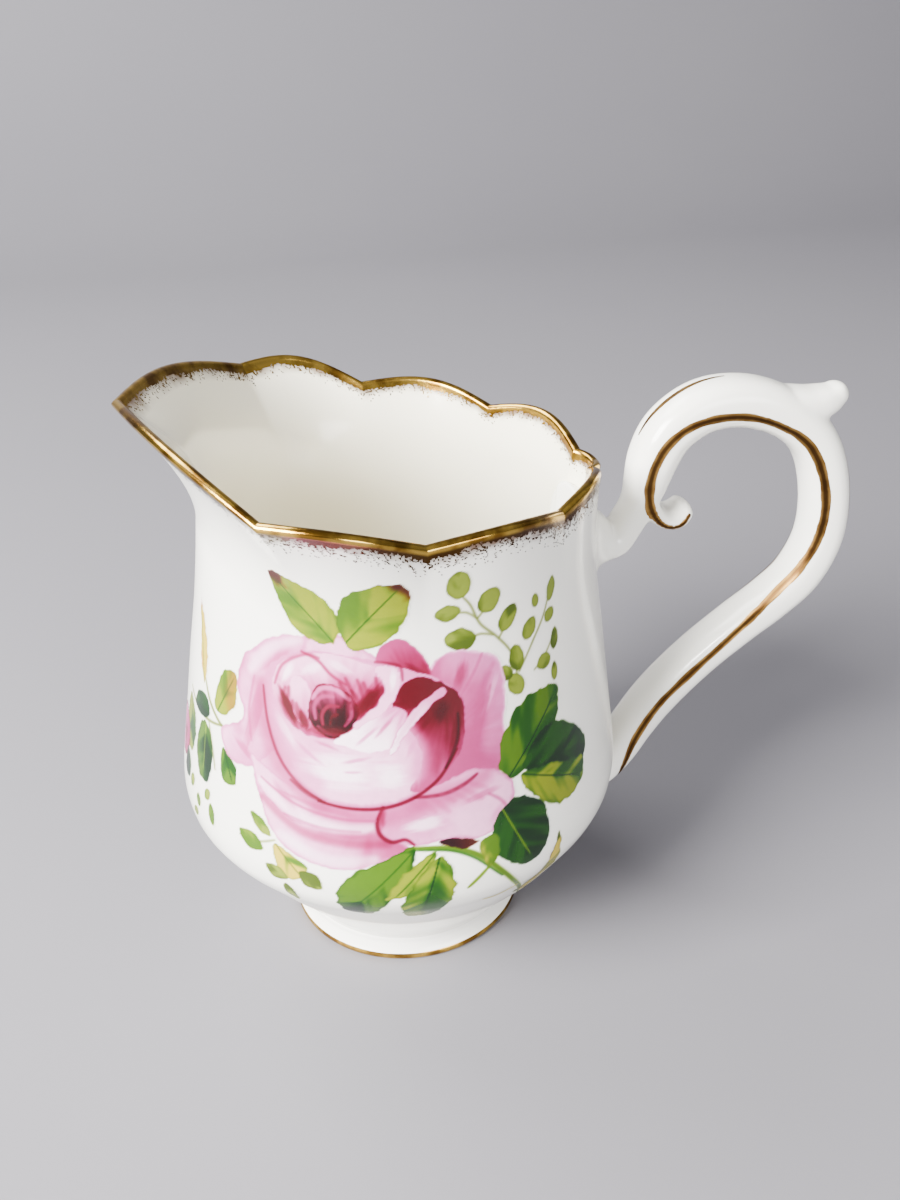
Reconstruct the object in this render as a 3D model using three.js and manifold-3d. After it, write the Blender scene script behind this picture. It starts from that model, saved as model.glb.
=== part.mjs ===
// A small bone china cream jug: a footed baluster body with a scalloped, spouted rim, a scrolled
// handle, gilding and floral transfers.
// Millimetres, +Z up. +X points to the handle, -X to the spout. The foot stands on z = 0.
import * as THREE from "three";
import Module from "manifold-3d";

const wasm = await Module();
wasm.setup();

// ---------------------------------------------------------------- driving dimensions

const FOOT_RADIUS = 22.0;
const FOOT_HEIGHT = 4.4;
const FOOT_INNER_RADIUS = 18.4;
const BODY_BASE_Z = 4.6;
const BODY_TOP_RADIUS = 31.4;
const WALL = 2.4;
const FLOOR_Z = 7.6;
const RIM_HALF_WIDTH = 0.75;
const RIM_CROWN = 0.55;
const FLARE_START_Z = 71.0;
const SPOUT_FLARE_DELAY = 13.0;
const FLARE_POWER = 1.8;

const BODY_COLUMNS_PER_LOBE = [2, 5, 5, 5, 7];
const SKIN_GAP = 0.12;
const SKIN_THICKNESS = 0.14;
const JOINT_GAP = 0.12;
const JOINT_THICKNESS = 0.75;
const CUT_GAP = 0.3;

// Outer radius of the body at each height.
const BODY_PROFILE = [
  [4.6, 20.9],
  [7.0, 22.9],
  [10.0, 25.0],
  [14.0, 28.0],
  [19.0, 31.9],
  [25.0, 36.1],
  [28.0, 38.1],
  [31.0, 39.3],
  [34.0, 39.6],
  [37.5, 39.3],
  [42.0, 38.6],
  [50.0, 37.4],
  [60.0, 35.9],
  [70.0, 34.3],
  [80.0, 33.1],
  [90.0, 32.2],
  [105.0, BODY_TOP_RADIUS],
];

// The body's axis leans a little toward the handle above the belly.
const AXIS_OFFSET = [
  [0.0, 0.0],
  [19.0, 0.8],
  [32.0, 0.1],
  [50.0, 0.6],
  [90.0, 2.0],
  [105.0, 2.4],
];
const RIM_CENTRE_X = 2.0;

// The rim's notches on the +Y side, from the handle round to the spout tip, then the lobe
// between each pair: how far it bulges outward and how far it rises.
const RIM_NOTCHES = [
  [36.2, 0.0, 85.8],
  [34.3, 4.1, 86.4],
  [23.4, 23.9, 88.5],
  [1.2, 35.8, 91.1],
  [-21.0, 35.2, 96.8],
  [-40.1, 0.0, 103.5],
];
const RIM_LOBES = [
  { bulge: 0.2, rise: 0.8 },
  { bulge: 2.7, rise: 2.4 },
  { bulge: 3.4, rise: 1.8 },
  { bulge: 4.0, rise: 2.0 },
  { bulge: 2.4, rise: 2.5 },
];

// Handle strap: x, z of its centre line, then half thickness and half width.
const STRAP = [
  [31.0, 71.6, 8.0, 6.2],
  [35.8, 71.4, 5.8, 5.4],
  [38.2, 71.0, 3.9, 4.5],
  [40.8, 71.2, 2.9, 4.1],
  [42.8, 74.2, 2.8, 4.1],
  [44.4, 77.6, 2.7, 4.2],
  [45.4, 81.5, 3.4, 4.5],
  [46.6, 86.0, 4.0, 4.7],
  [49.0, 90.6, 4.2, 4.8],
  [54.5, 94.3, 4.3, 4.9],
  [61.5, 94.8, 4.3, 4.9],
  [69.2, 92.2, 4.2, 4.8],
  [75.6, 86.6, 4.0, 4.7],
  [79.0, 78.0, 4.0, 4.7],
  [79.4, 67.6, 3.9, 4.7],
  [76.3, 60.2, 3.7, 4.8],
  [71.3, 55.3, 3.5, 4.8],
  [65.0, 50.6, 3.4, 4.8],
  [57.5, 44.5, 3.4, 4.8],
  [50.0, 36.8, 3.4, 4.8],
  [45.8, 31.0, 3.3, 4.8],
  [43.0, 26.5, 3.2, 4.9],
  [40.0, 23.0, 3.1, 5.0],
  [36.5, 20.8, 3.0, 5.1],
  [31.0, 19.0, 2.9, 5.2],
];

// Scroll under the top of the handle, and the thumb spur at its crown.
const SCROLL = [
  [47.4, 88.0, 2.0, 4.2],
  [45.4, 82.5, 2.0, 4.4],
  [45.6, 78.6, 1.9, 4.5],
  [47.4, 75.8, 1.8, 4.4],
  [49.8, 74.7, 1.8, 4.3],
  [51.8, 75.4, 2.0, 4.0],
  [52.6, 76.7, 2.1, 3.6],
];
const SPUR = [
  [64.0, 93.2, 3.6, 4.2],
  [69.5, 93.2, 3.4, 4.0],
  [74.4, 93.2, 2.9, 3.4],
  [77.8, 94.1, 2.0, 2.6],
  [79.3, 94.9, 1.2, 1.7],
];
const SECTION_POWER = 2.4;

// Gilded line along each flank of the handle: x and z of its course.
const FLANK_LINE = [
  [52.4, 75.8],
  [50.9, 74.6],
  [49.2, 74.3],
  [47.0, 75.4],
  [45.3, 78.2],
  [44.7, 82.0],
  [45.4, 86.0],
  [47.1, 89.4],
  [50.5, 92.3],
  [55.0, 93.6],
  [61.0, 93.4],
  [67.0, 91.3],
  [72.8, 87.4],
  [76.3, 81.3],
  [77.7, 74.6],
  [76.9, 67.6],
  [74.2, 62.2],
  [70.0, 57.7],
  [63.9, 52.9],
  [54.4, 44.4],
  [48.0, 37.8],
  [43.8, 30.8],
  [42.4, 26.0],
  [41.3, 23.2],
];
const FLANK_LINE_WIDTH = 1.1;
const FLANK_LINE_LIFT = 0.12;
const FLANK_CLEARANCE = 0.6;

// ---------------------------------------------------------------- small helpers

// Smooth one-dimensional interpolation through [x, value, ...] rows (monotone cubic).
function smoothTable(rows, column = 1) {
  const x = rows.map((row) => row[0]);
  const y = rows.map((row) => row[column]);
  const n = x.length;
  const slope = [];
  for (let i = 0; i < n - 1; i += 1) slope.push((y[i + 1] - y[i]) / (x[i + 1] - x[i]));
  const tangent = [slope[0]];
  for (let i = 1; i < n - 1; i += 1) {
    const rising = slope[i - 1] * slope[i] > 0;
    tangent.push(rising ? (2 * slope[i - 1] * slope[i]) / (slope[i - 1] + slope[i]) : 0);
  }
  tangent.push(slope[n - 2]);
  return (at) => {
    let i = 0;
    while (i < n - 2 && at > x[i + 1]) i += 1;
    const h = x[i + 1] - x[i];
    const t = Math.min(Math.max((at - x[i]) / h, 0), 1);
    const a = 2 * t ** 3 - 3 * t ** 2 + 1;
    const b = t ** 3 - 2 * t ** 2 + t;
    const c = -2 * t ** 3 + 3 * t ** 2;
    const d = t ** 3 - t ** 2;
    return a * y[i] + b * h * tangent[i] + c * y[i + 1] + d * h * tangent[i + 1];
  };
}

function makeGeometry(points, triangles) {
  const geometry = new THREE.BufferGeometry();
  const flat = new Float32Array(points.length * 3);
  points.forEach((p, i) => flat.set([p.x, p.y, p.z], i * 3));
  geometry.setAttribute("position", new THREE.BufferAttribute(flat, 3));
  geometry.setIndex(triangles);
  return geometry;
}

function signedVolume(points, triangles) {
  let sum = 0;
  for (let i = 0; i < triangles.length; i += 3) {
    const [a, b, c] = [points[triangles[i]], points[triangles[i + 1]], points[triangles[i + 2]]];
    sum += a.dot(new THREE.Vector3().crossVectors(b, c));
  }
  return sum / 6;
}

// Closed solid from rings of points. Open ends are closed by a fan to the ring's middle;
// loop = true joins the last ring to the first instead.
function ringSolid(rings, loop = false) {
  const count = rings[0].length;
  const points = rings.flat();
  const triangles = [];
  const last = loop ? rings.length : rings.length - 1;
  for (let i = 0; i < last; i += 1) {
    const next = (i + 1) % rings.length;
    for (let j = 0; j < count; j += 1) {
      const k = (j + 1) % count;
      const a = i * count + j;
      const b = i * count + k;
      const c = next * count + k;
      const d = next * count + j;
      triangles.push(a, b, c, a, c, d);
    }
  }
  if (!loop) {
    for (const [ring, flip] of [[0, true], [rings.length - 1, false]]) {
      const middle = new THREE.Vector3();
      rings[ring].forEach((p) => middle.add(p));
      middle.divideScalar(count);
      const m = points.push(middle) - 1;
      for (let j = 0; j < count; j += 1) {
        const a = ring * count + j;
        const b = ring * count + ((j + 1) % count);
        if (flip) triangles.push(m, b, a);
        else triangles.push(m, a, b);
      }
    }
  }
  if (signedVolume(points, triangles) < 0) triangles.reverse();
  return makeGeometry(points, triangles);
}

function toManifold(geometry) {
  const vertProperties = new Float32Array(geometry.getAttribute("position").array);
  const triVerts = new Uint32Array(geometry.getIndex().array);
  return new wasm.Manifold(new wasm.Mesh({ numProp: 3, vertProperties, triVerts }));
}

function fromManifold(solid) {
  const mesh = solid.getMesh();
  const geometry = new THREE.BufferGeometry();
  geometry.setAttribute("position", new THREE.BufferAttribute(new Float32Array(mesh.vertProperties), 3));
  geometry.setIndex(new THREE.BufferAttribute(new Uint32Array(mesh.triVerts), 1));
  return geometry;
}

// ---------------------------------------------------------------- the body's surface

const bodyRadius = smoothTable(BODY_PROFILE);
const axisOffset = smoothTable(AXIS_OFFSET);

// A point of the rim's centre line on the +Y side: lobe number and place along that lobe.
function rimOnLobe(lobe, t) {
  const a = new THREE.Vector3(...RIM_NOTCHES[lobe]);
  const b = new THREE.Vector3(...RIM_NOTCHES[lobe + 1]);
  const out = new THREE.Vector3(b.y - a.y, a.x - b.x, 0).normalize();
  if (out.x * (a.x + b.x) + out.y * (a.y + b.y) < 0) out.negate();
  const swell = Math.sin(Math.PI * t);
  const point = a.clone().lerp(b, t);
  point.addScaledVector(out, RIM_LOBES[lobe].bulge * swell);
  point.z += RIM_LOBES[lobe].rise * swell;
  return point;
}

const RIM_TABLE = [];
for (let lobe = 0; lobe < RIM_LOBES.length; lobe += 1) {
  for (let step = 0; step < 40; step += 1) RIM_TABLE.push(rimOnLobe(lobe, step / 40));
}
RIM_TABLE.push(rimOnLobe(RIM_LOBES.length - 1, 1));
const RIM_ANGLES = RIM_TABLE.map((p) => Math.abs(Math.atan2(p.y, p.x - RIM_CENTRE_X)));

// Rim centre line at an angle about the rim's centre; the -Y side mirrors the +Y side.
function rimAt(angle) {
  const turned = Math.atan2(Math.sin(angle), Math.cos(angle));
  const wanted = Math.min(Math.abs(turned), Math.PI);
  let i = 0;
  while (i < RIM_ANGLES.length - 2 && RIM_ANGLES[i + 1] < wanted) i += 1;
  const span = RIM_ANGLES[i + 1] - RIM_ANGLES[i];
  const t = Math.min(Math.max((wanted - RIM_ANGLES[i]) / span, 0), 1);
  const point = RIM_TABLE[i].clone().lerp(RIM_TABLE[i + 1], t);
  if (turned < 0) point.y = -point.y;
  return point;
}

// The body's outer skin: a round baluster that flares into the scalloped rim.
function outerPoint(angle, z) {
  const rim = rimAt(angle);
  const outward = new THREE.Vector3(Math.cos(angle), Math.sin(angle), 0);
  const base = new THREE.Vector3(axisOffset(z), 0, z).addScaledVector(outward, bodyRadius(z));
  const start = FLARE_START_Z + SPOUT_FLARE_DELAY * Math.max(0, -Math.cos(angle)) ** 2;
  if (z <= start) return base;
  const under = new THREE.Vector3(axisOffset(rim.z), 0, rim.z);
  under.addScaledVector(outward, bodyRadius(rim.z));
  const edge = rim.clone().addScaledVector(outward, RIM_HALF_WIDTH);
  const blend = ((z - start) / (rim.z - start)) ** FLARE_POWER;
  base.x += (edge.x - under.x) * blend;
  base.y += (edge.y - under.y) * blend;
  return base;
}

function outerNormal(angle, z) {
  const d = 0.02;
  const around = outerPoint(angle + d, z).sub(outerPoint(angle - d, z));
  const up = outerPoint(angle, z + 0.3).sub(outerPoint(angle, z - 0.3));
  return around.cross(up).normalize();
}

function skinPoint(angle, z, stand) {
  return outerPoint(angle, z).addScaledVector(outerNormal(angle, z), stand);
}

// The inner skin lies one wall thickness inside, thinning toward the rim.
function innerPoint(angle, z) {
  const rim = rimAt(angle);
  const outward = new THREE.Vector3(Math.cos(angle), Math.sin(angle), 0);
  const rise = outerPoint(angle, z).sub(outerPoint(angle, z - 0.5)).dot(outward) / 0.5;
  const depth = Math.min((rim.z - z) / 8, 1);
  const wall = WALL * Math.hypot(1, rise) * depth + 2 * RIM_HALF_WIDTH * (1 - depth);
  return outerPoint(angle, z).addScaledVector(outward, -wall);
}

// Points over the top of the rim, from its outer edge to its inner edge.
function rimCrown(angle, swing, stand) {
  const point = rimAt(angle);
  point.x += Math.cos(angle) * Math.cos(swing) * (RIM_HALF_WIDTH + stand);
  point.y += Math.sin(angle) * Math.cos(swing) * (RIM_HALF_WIDTH + stand);
  point.z += Math.sin(swing) * (RIM_CROWN + stand);
  return point;
}

// Angles of the columns: every notch has a column of its own.
function rimColumns(refine = 1) {
  const half = [];
  BODY_COLUMNS_PER_LOBE.forEach((steps, lobe) => {
    const n = steps * refine;
    for (let i = 0; i < n; i += 1) {
      const p = rimOnLobe(lobe, i / n);
      half.push(Math.atan2(p.y, p.x - RIM_CENTRE_X));
    }
  });
  const mirrored = half.slice(1).reverse().map((angle) => 2 * Math.PI - angle);
  return [...half, Math.PI, ...mirrored];
}

// ---------------------------------------------------------------- body and foot

const LOWER_ROWS = [4.6, 7, 10, 14, 19, 25, 29, 32, 35, 39, 45, 52, 60, 70];
const UPPER_FRACTIONS = [0.3, 0.6, 0.8];
const OUTER_EDGE_DEPTHS = [3.0, 1.4, 0.5];
const INNER_EDGE_DEPTHS = [0.5, 1.6];
const CROWN_SWINGS = [0.2, 0.5, 0.8];
const INNER_ROWS = [60, 50, 42, 36, 32, 28, 22, 16, 11.5];

// Heights of the outer skin's rows at one angle, from the base to the gilded edge.
function bodyRows(angle) {
  const rim = rimAt(angle);
  const upper = UPPER_FRACTIONS.map((f) => 70 + (rim.z - 70) * f);
  return [...LOWER_ROWS, ...upper, ...OUTER_EDGE_DEPTHS.map((d) => rim.z - d)];
}

function buildBody() {
  const rings = rimColumns().map((angle) => {
    const rim = rimAt(angle);
    const upper = UPPER_FRACTIONS.map((f) => 70 + (rim.z - 70) * f);
    const innerEdge = INNER_EDGE_DEPTHS.map((d) => rim.z - d);
    const ring = [];
    for (const z of bodyRows(angle)) ring.push(outerPoint(angle, z));
    for (const swing of CROWN_SWINGS) ring.push(rimCrown(angle, swing * Math.PI, 0));
    for (const z of [...innerEdge, ...[...upper].reverse(), 70]) ring.push(innerPoint(angle, z));
    for (const z of INNER_ROWS) ring.push(innerPoint(angle, z));
    const low = innerPoint(angle, INNER_ROWS[INNER_ROWS.length - 1]);
    ring.push(new THREE.Vector3(low.x * 0.8, low.y * 0.8, FLOOR_Z + 0.9));
    return ring;
  });
  return closeAtAxis(rings, BODY_BASE_Z, FLOOR_Z);
}

// Joins columns of points round the axis and closes them with a pole at each end.
function closeAtAxis(columns, firstZ, lastZ) {
  const rows = columns[0].length;
  const points = columns.flat();
  const triangles = [];
  const first = points.push(new THREE.Vector3(0, 0, firstZ)) - 1;
  const last = points.push(new THREE.Vector3(0, 0, lastZ)) - 1;
  for (let j = 0; j < columns.length; j += 1) {
    const k = (j + 1) % columns.length;
    for (let i = 0; i < rows - 1; i += 1) {
      const a = j * rows + i;
      const b = k * rows + i;
      triangles.push(a, b, b + 1, a, b + 1, a + 1);
    }
    triangles.push(first, k * rows, j * rows);
    triangles.push(last, j * rows + rows - 1, k * rows + rows - 1);
  }
  if (signedVolume(points, triangles) < 0) triangles.reverse();
  return makeGeometry(points, triangles);
}

// The foot: a turned ring with a rounded tread that stands on the table.
function buildFoot() {
  const profile = [
    [FOOT_RADIUS - 3.0, 0.0],
    [FOOT_RADIUS - 0.7, 0.0],
    [FOOT_RADIUS - 0.15, 0.3],
    [FOOT_RADIUS, 0.9],
    [FOOT_RADIUS - 0.5, 2.4],
    [FOOT_RADIUS - 1.1, FOOT_HEIGHT],
    [FOOT_INNER_RADIUS, FOOT_HEIGHT],
    [FOOT_INNER_RADIUS, 1.2],
    [FOOT_RADIUS - 3.0, 0.0],
  ].map(([r, z]) => new THREE.Vector2(r, z));
  return weldedLathe(profile, 48);
}

// Lathe of a closed profile about the jug's axis, as one ring solid.
function weldedLathe(profile, segments) {
  const rings = [];
  for (let i = 0; i < segments; i += 1) {
    const angle = (2 * Math.PI * i) / segments;
    const place = (p) => new THREE.Vector3(p.x * Math.cos(angle), p.x * Math.sin(angle), p.y);
    rings.push(profile.slice(0, -1).map(place));
  }
  return ringSolid(rings, true);
}

// ---------------------------------------------------------------- handle

// Centre line through [x, z, ...] rows, lying in the plane y = 0.
function planeCurve(rows) {
  const points = rows.map((row) => new THREE.Vector3(row[0], 0, row[1]));
  return new THREE.CatmullRomCurve3(points, false, "centripetal");
}

// Strap swept along its centre line with a soft rounded-box section.
function sweepStrap(rows, steps, around, grow = 0) {
  const curve = planeCurve(rows);
  const places = rows.map((row, i) => [i / (rows.length - 1), row[2], row[3]]);
  const thickness = smoothTable(places, 1);
  const width = smoothTable(places, 2);
  const rings = [];
  for (let i = 0; i <= steps; i += 1) {
    const t = i / steps;
    const centre = curve.getPoint(t);
    const along = curve.getTangent(t);
    const normal = new THREE.Vector3(-along.z, 0, along.x);
    const ring = [];
    for (let j = 0; j < around; j += 1) {
      const angle = (2 * Math.PI * j) / around;
      const c = Math.cos(angle);
      const s = Math.sin(angle);
      const n = Math.sign(c) * Math.abs(c) ** (2 / SECTION_POWER) * (thickness(t) + grow);
      const y = Math.sign(s) * Math.abs(s) ** (2 / SECTION_POWER) * (width(t) + grow);
      ring.push(centre.clone().addScaledVector(normal, n).add(new THREE.Vector3(0, y, 0)));
    }
    rings.push(ring);
  }
  return ringSolid(rings);
}

// A plug of the body grown outward, used to trim what meets the body.
function bodyPlug(stand) {
  const heights = [6, 12, 16, 19, 22, 25, 28, 31, 34, 38, 44, 50, 58, 63, 67, 71, 75, 79, 83];
  const rings = heights.map((z) => {
    const ring = [];
    for (let i = 0; i < 64; i += 1) ring.push(skinPoint((2 * Math.PI * i) / 64, z, stand));
    return ring;
  });
  return toManifold(ringSolid(rings));
}

function roundedEnd(rows, around) {
  const [x, z, thickness, width] = rows[rows.length - 1];
  const end = new THREE.SphereGeometry(1, around, 8);
  const points = [];
  const position = end.getAttribute("position");
  const keyed = new Map();
  const remap = [];
  for (let i = 0; i < position.count; i += 1) {
    const p = new THREE.Vector3().fromBufferAttribute(position, i);
    const key = [p.x, p.y, p.z].map((v) => Math.round(v * 1e4)).join(",");
    if (!keyed.has(key)) {
      keyed.set(key, points.length);
      points.push(new THREE.Vector3(x + p.x * thickness, p.y * width, z + p.z * thickness));
    }
    remap.push(keyed.get(key));
  }
  const triangles = [];
  const index = end.getIndex().array;
  for (let i = 0; i < index.length; i += 3) {
    const [a, b, c] = [remap[index[i]], remap[index[i + 1]], remap[index[i + 2]]];
    if (a !== b && b !== c && a !== c) triangles.push(a, b, c);
  }
  if (signedVolume(points, triangles) < 0) triangles.reverse();
  return makeGeometry(points, triangles);
}

function buildHandle() {
  const strap = toManifold(sweepStrap(STRAP, 48, 16));
  const scroll = toManifold(sweepStrap(SCROLL, 16, 14));
  const scrollTip = toManifold(roundedEnd(SCROLL, 12));
  const spur = toManifold(sweepStrap(SPUR, 10, 14));
  const spurTip = toManifold(roundedEnd(SPUR, 12));
  const whole = strap.add(scroll).add(scrollTip).add(spur).add(spurTip);
  return fromManifold(whole.subtract(bodyPlug(JOINT_GAP + JOINT_THICKNESS + CUT_GAP)));
}

// A collar of fired slip where the strap meets the body: rows picks the end of the strap.
function buildJoint(rows) {
  const swollen = toManifold(sweepStrap(rows, 10, 20, 1.0));
  const shell = swollen.intersect(bodyPlug(JOINT_GAP + JOINT_THICKNESS));
  return fromManifold(shell.subtract(bodyPlug(JOINT_GAP)));
}

// ---------------------------------------------------------------- gilding

// Gilded edge that wraps the rim from the outside, over the crown, to the inside.
function buildRimGilding() {
  const rings = rimColumns().map((angle) => {
    const rim = rimAt(angle);
    const layer = (stand) => {
      const outward = new THREE.Vector3(Math.cos(angle), Math.sin(angle), 0);
      const list = OUTER_EDGE_DEPTHS.map((d) => skinPoint(angle, rim.z - d, stand));
      for (const swing of CROWN_SWINGS) list.push(rimCrown(angle, swing * Math.PI, stand));
      for (const d of INNER_EDGE_DEPTHS) {
        list.push(innerPoint(angle, rim.z - d).addScaledVector(outward, -stand));
      }
      return list;
    };
    return [...layer(SKIN_GAP + SKIN_THICKNESS), ...layer(SKIN_GAP).reverse()];
  });
  return ringSolid(rings, true);
}

function buildFootGilding() {
  const inner = FOOT_RADIUS + SKIN_GAP;
  const outer = inner + SKIN_THICKNESS;
  const profile = [
    [inner - 0.05, 0.7],
    [outer - 0.05, 0.7],
    [outer, 1.1],
    [outer - 0.5, 2.5],
    [inner - 0.5, 2.5],
    [inner, 1.1],
    [inner - 0.05, 0.7],
  ].map(([r, z]) => new THREE.Vector2(r, z));
  return weldedLathe(profile, 48);
}

// How far the handle's flank stands from the middle plane beside a point of the gilded line.
function flankHalfWidth(x, z) {
  let reach = 0;
  for (const rows of [STRAP, SCROLL]) {
    const curve = planeCurve(rows);
    const places = rows.map((row, i) => [i / (rows.length - 1), row[2], row[3]]);
    const thickness = smoothTable(places, 1);
    const width = smoothTable(places, 2);
    for (let i = 0; i <= 240; i += 1) {
      const t = i / 240;
      const apart = curve.getPoint(t).distanceTo(new THREE.Vector3(x, 0, z));
      const away = Math.max(apart - FLANK_CLEARANCE, 0) / thickness(t);
      const side = width(t) * Math.max(0, 1 - away ** SECTION_POWER) ** (1 / SECTION_POWER);
      reach = Math.max(reach, side);
    }
  }
  return reach;
}

// Narrow gilded strip following the flank of the handle on one side.
function buildFlankLine(side) {
  const curve = planeCurve(FLANK_LINE);
  const steps = 46;
  const rings = [];
  for (let i = 0; i <= steps; i += 1) {
    const t = i / steps;
    const centre = curve.getPoint(t);
    const along = curve.getTangent(t);
    const normal = new THREE.Vector3(-along.z, 0, along.x);
    const across = [-0.5, 0, 0.5].map((f) => {
      return centre.clone().addScaledVector(normal, f * FLANK_LINE_WIDTH);
    });
    const layer = (stand) => across.map((p) => {
      const y = flankHalfWidth(p.x, p.z) + SKIN_GAP + stand;
      return new THREE.Vector3(p.x, side * y, p.z);
    });
    rings.push([...layer(SKIN_THICKNESS + FLANK_LINE_LIFT), ...layer(FLANK_LINE_LIFT).reverse()]);
  }
  return ringSolid(rings);
}

// Short brushed line of gilding on the back of the handle between two places on the strap.
function buildSpineLine(from, to, halfWidth) {
  const curve = planeCurve(STRAP);
  const places = STRAP.map((row, i) => [i / (STRAP.length - 1), row[2], row[3]]);
  const thickness = smoothTable(places, 1);
  const steps = 10;
  const rings = [];
  for (let i = 0; i <= steps; i += 1) {
    const t = from + ((to - from) * i) / steps;
    const half = halfWidth * Math.sin(Math.PI * (0.08 + (0.84 * i) / steps)) ** 0.5;
    const centre = curve.getPoint(t);
    const along = curve.getTangent(t);
    const normal = new THREE.Vector3(-along.z, 0, along.x);
    const layer = (stand) => [-half, 0, half].map((y) => {
      const place = centre.clone().addScaledVector(normal, thickness(t) + stand);
      return place.add(new THREE.Vector3(0, y, 0));
    });
    rings.push([...layer(SKIN_GAP + SKIN_THICKNESS), ...layer(SKIN_GAP).reverse()]);
  }
  return ringSolid(rings);
}

// ---------------------------------------------------------------- transfers

// Part of the body's surface as a thin closed shell, on the same grid as the body itself.
function surfaceShell(angles, firstRow, lastRow) {
  const layer = (stand) => angles.map((angle) => {
    return bodyRows(angle).slice(firstRow, lastRow + 1).map((z) => skinPoint(angle, z, stand));
  });
  const rings = [];
  const outside = layer(SKIN_GAP + SKIN_THICKNESS);
  const inside = layer(SKIN_GAP);
  for (let j = 0; j < angles.length; j += 1) rings.push([...outside[j], ...inside[j].reverse()]);
  const count = rings[0].length;
  const rows = count / 2;
  const points = rings.flat();
  const triangles = [];
  for (let j = 0; j < rings.length - 1; j += 1) {
    for (let i = 0; i < count; i += 1) {
      const a = j * count + i;
      const b = (j + 1) * count + i;
      const up = i === count - 1 ? 1 - count : 1;
      if (i < rows) triangles.push(a, b, b + up, a, b + up, a + up);
      else triangles.push(a, b, a + up, b, b + up, a + up);
    }
  }
  for (const [j, flip] of [[0, false], [rings.length - 1, true]]) {
    for (let i = 0; i < rows - 1; i += 1) {
      const a = j * count + i;
      const d = j * count + count - 1 - i;
      const quad = [a, a + 1, d - 1, a, d - 1, d];
      if (flip) quad.reverse();
      triangles.push(...quad);
    }
  }
  if (signedVolume(points, triangles) < 0) triangles.reverse();
  return makeGeometry(points, triangles);
}

// A floral transfer: a thin skin on the body with a softly lobed outline.
// centre is [angle in degrees, height]; half is [half width, half height].
function buildTransfer(centre, half, lobes, depth, turn = 0) {
  const middle = (centre[0] * Math.PI) / 180;
  const radius = bodyRadius(centre[1]);
  const outline = [];
  for (let i = 0; i < 36; i += 1) {
    const a = (2 * Math.PI * i) / 36;
    const reach = 1 + depth * Math.cos(lobes * a + turn);
    const angle = middle + (half[0] * reach * Math.cos(a)) / radius;
    outline.push([angle, centre[1] + half[1] * reach * Math.sin(a)]);
  }
  const cutter = [24, 60].map((r) => outline.map(([angle, z]) => {
    return new THREE.Vector3(r * Math.cos(angle), r * Math.sin(angle), z);
  }));
  const angles = outline.map((place) => place[0]);
  const heights = outline.map((place) => place[1]);
  const columns = rimColumns();
  const before = columns.findLastIndex((angle) => angle < Math.min(...angles));
  const after = columns.findIndex((angle) => angle > Math.max(...angles));
  const rows = columns.slice(before, after + 1).map(bodyRows);
  const low = Math.min(...rows.map((list) => list.findLastIndex((z) => z < Math.min(...heights))));
  const high = Math.max(...rows.map((list) => list.findIndex((z) => z > Math.max(...heights))));
  const shell = toManifold(surfaceShell(columns.slice(before, after + 1), low, high));
  return fromManifold(shell.intersect(toManifold(ringSolid(cutter))));
}

// ---------------------------------------------------------------- materials

const PORCELAIN = { color: 0xf4f1ea, roughness: 0.12, metalness: 0.0 };
const GOLD = { color: 0xa9772c, roughness: 0.24, metalness: 1.0 };
const ROSE = { color: 0xd9a0b8, roughness: 0.18, metalness: 0.0 };
const LEAF = { color: 0x7f9a4a, roughness: 0.18, metalness: 0.0 };

function add(group, name, geometry, look) {
  geometry.computeVertexNormals();
  const mesh = new THREE.Mesh(geometry, new THREE.MeshStandardMaterial(look));
  mesh.name = name;
  group.add(mesh);
}

// ---------------------------------------------------------------- assembly

function buildJug() {
  const jug = new THREE.Group();
  add(jug, "body", buildBody(), PORCELAIN);
  add(jug, "foot_ring", buildFoot(), PORCELAIN);
  add(jug, "handle", buildHandle(), PORCELAIN);
  add(jug, "upper_handle_joint", buildJoint(STRAP.slice(0, 4)), PORCELAIN);
  add(jug, "lower_handle_joint", buildJoint(STRAP.slice(-4)), PORCELAIN);
  add(jug, "rim_gilding", buildRimGilding(), GOLD);
  add(jug, "foot_gilding", buildFootGilding(), GOLD);
  add(jug, "handle_gold_line_front", buildFlankLine(-1), GOLD);
  add(jug, "handle_gold_line_back", buildFlankLine(1), GOLD);
  add(jug, "handle_gold_stroke_crest", buildSpineLine(0.29, 0.41, 0.7), GOLD);
  add(jug, "handle_gold_stroke_rear", buildSpineLine(0.49, 0.59, 0.6), GOLD);
  add(jug, "rose_transfer_front", buildTransfer([263, 56], [32, 30], 4, 0.04, 0.4), ROSE);
  add(jug, "bud_transfer_front", buildTransfer([191, 51], [7, 19], 3, 0.06, 2.0), ROSE);
  add(jug, "rose_transfer_back", buildTransfer([97, 55], [28, 25], 4, 0.05, 1.1), ROSE);
  add(jug, "bud_transfer_back", buildTransfer([167, 50], [7, 17], 3, 0.06, 0.6), ROSE);
  return jug;
}

// The origin is under the middle of the whole jug, on the plane it stands on.
function centred(jug) {
  const box = new THREE.Box3().setFromObject(jug);
  jug.position.x = -(box.min.x + box.max.x) / 2;
  return jug;
}

const creamJug = new THREE.Group();
creamJug.add(centred(buildJug()));

export default creamJug;
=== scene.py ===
import math

import bmesh
import bpy
import numpy as np
from mathutils import Matrix, Vector
from mathutils.bvhtree import BVHTree


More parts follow.
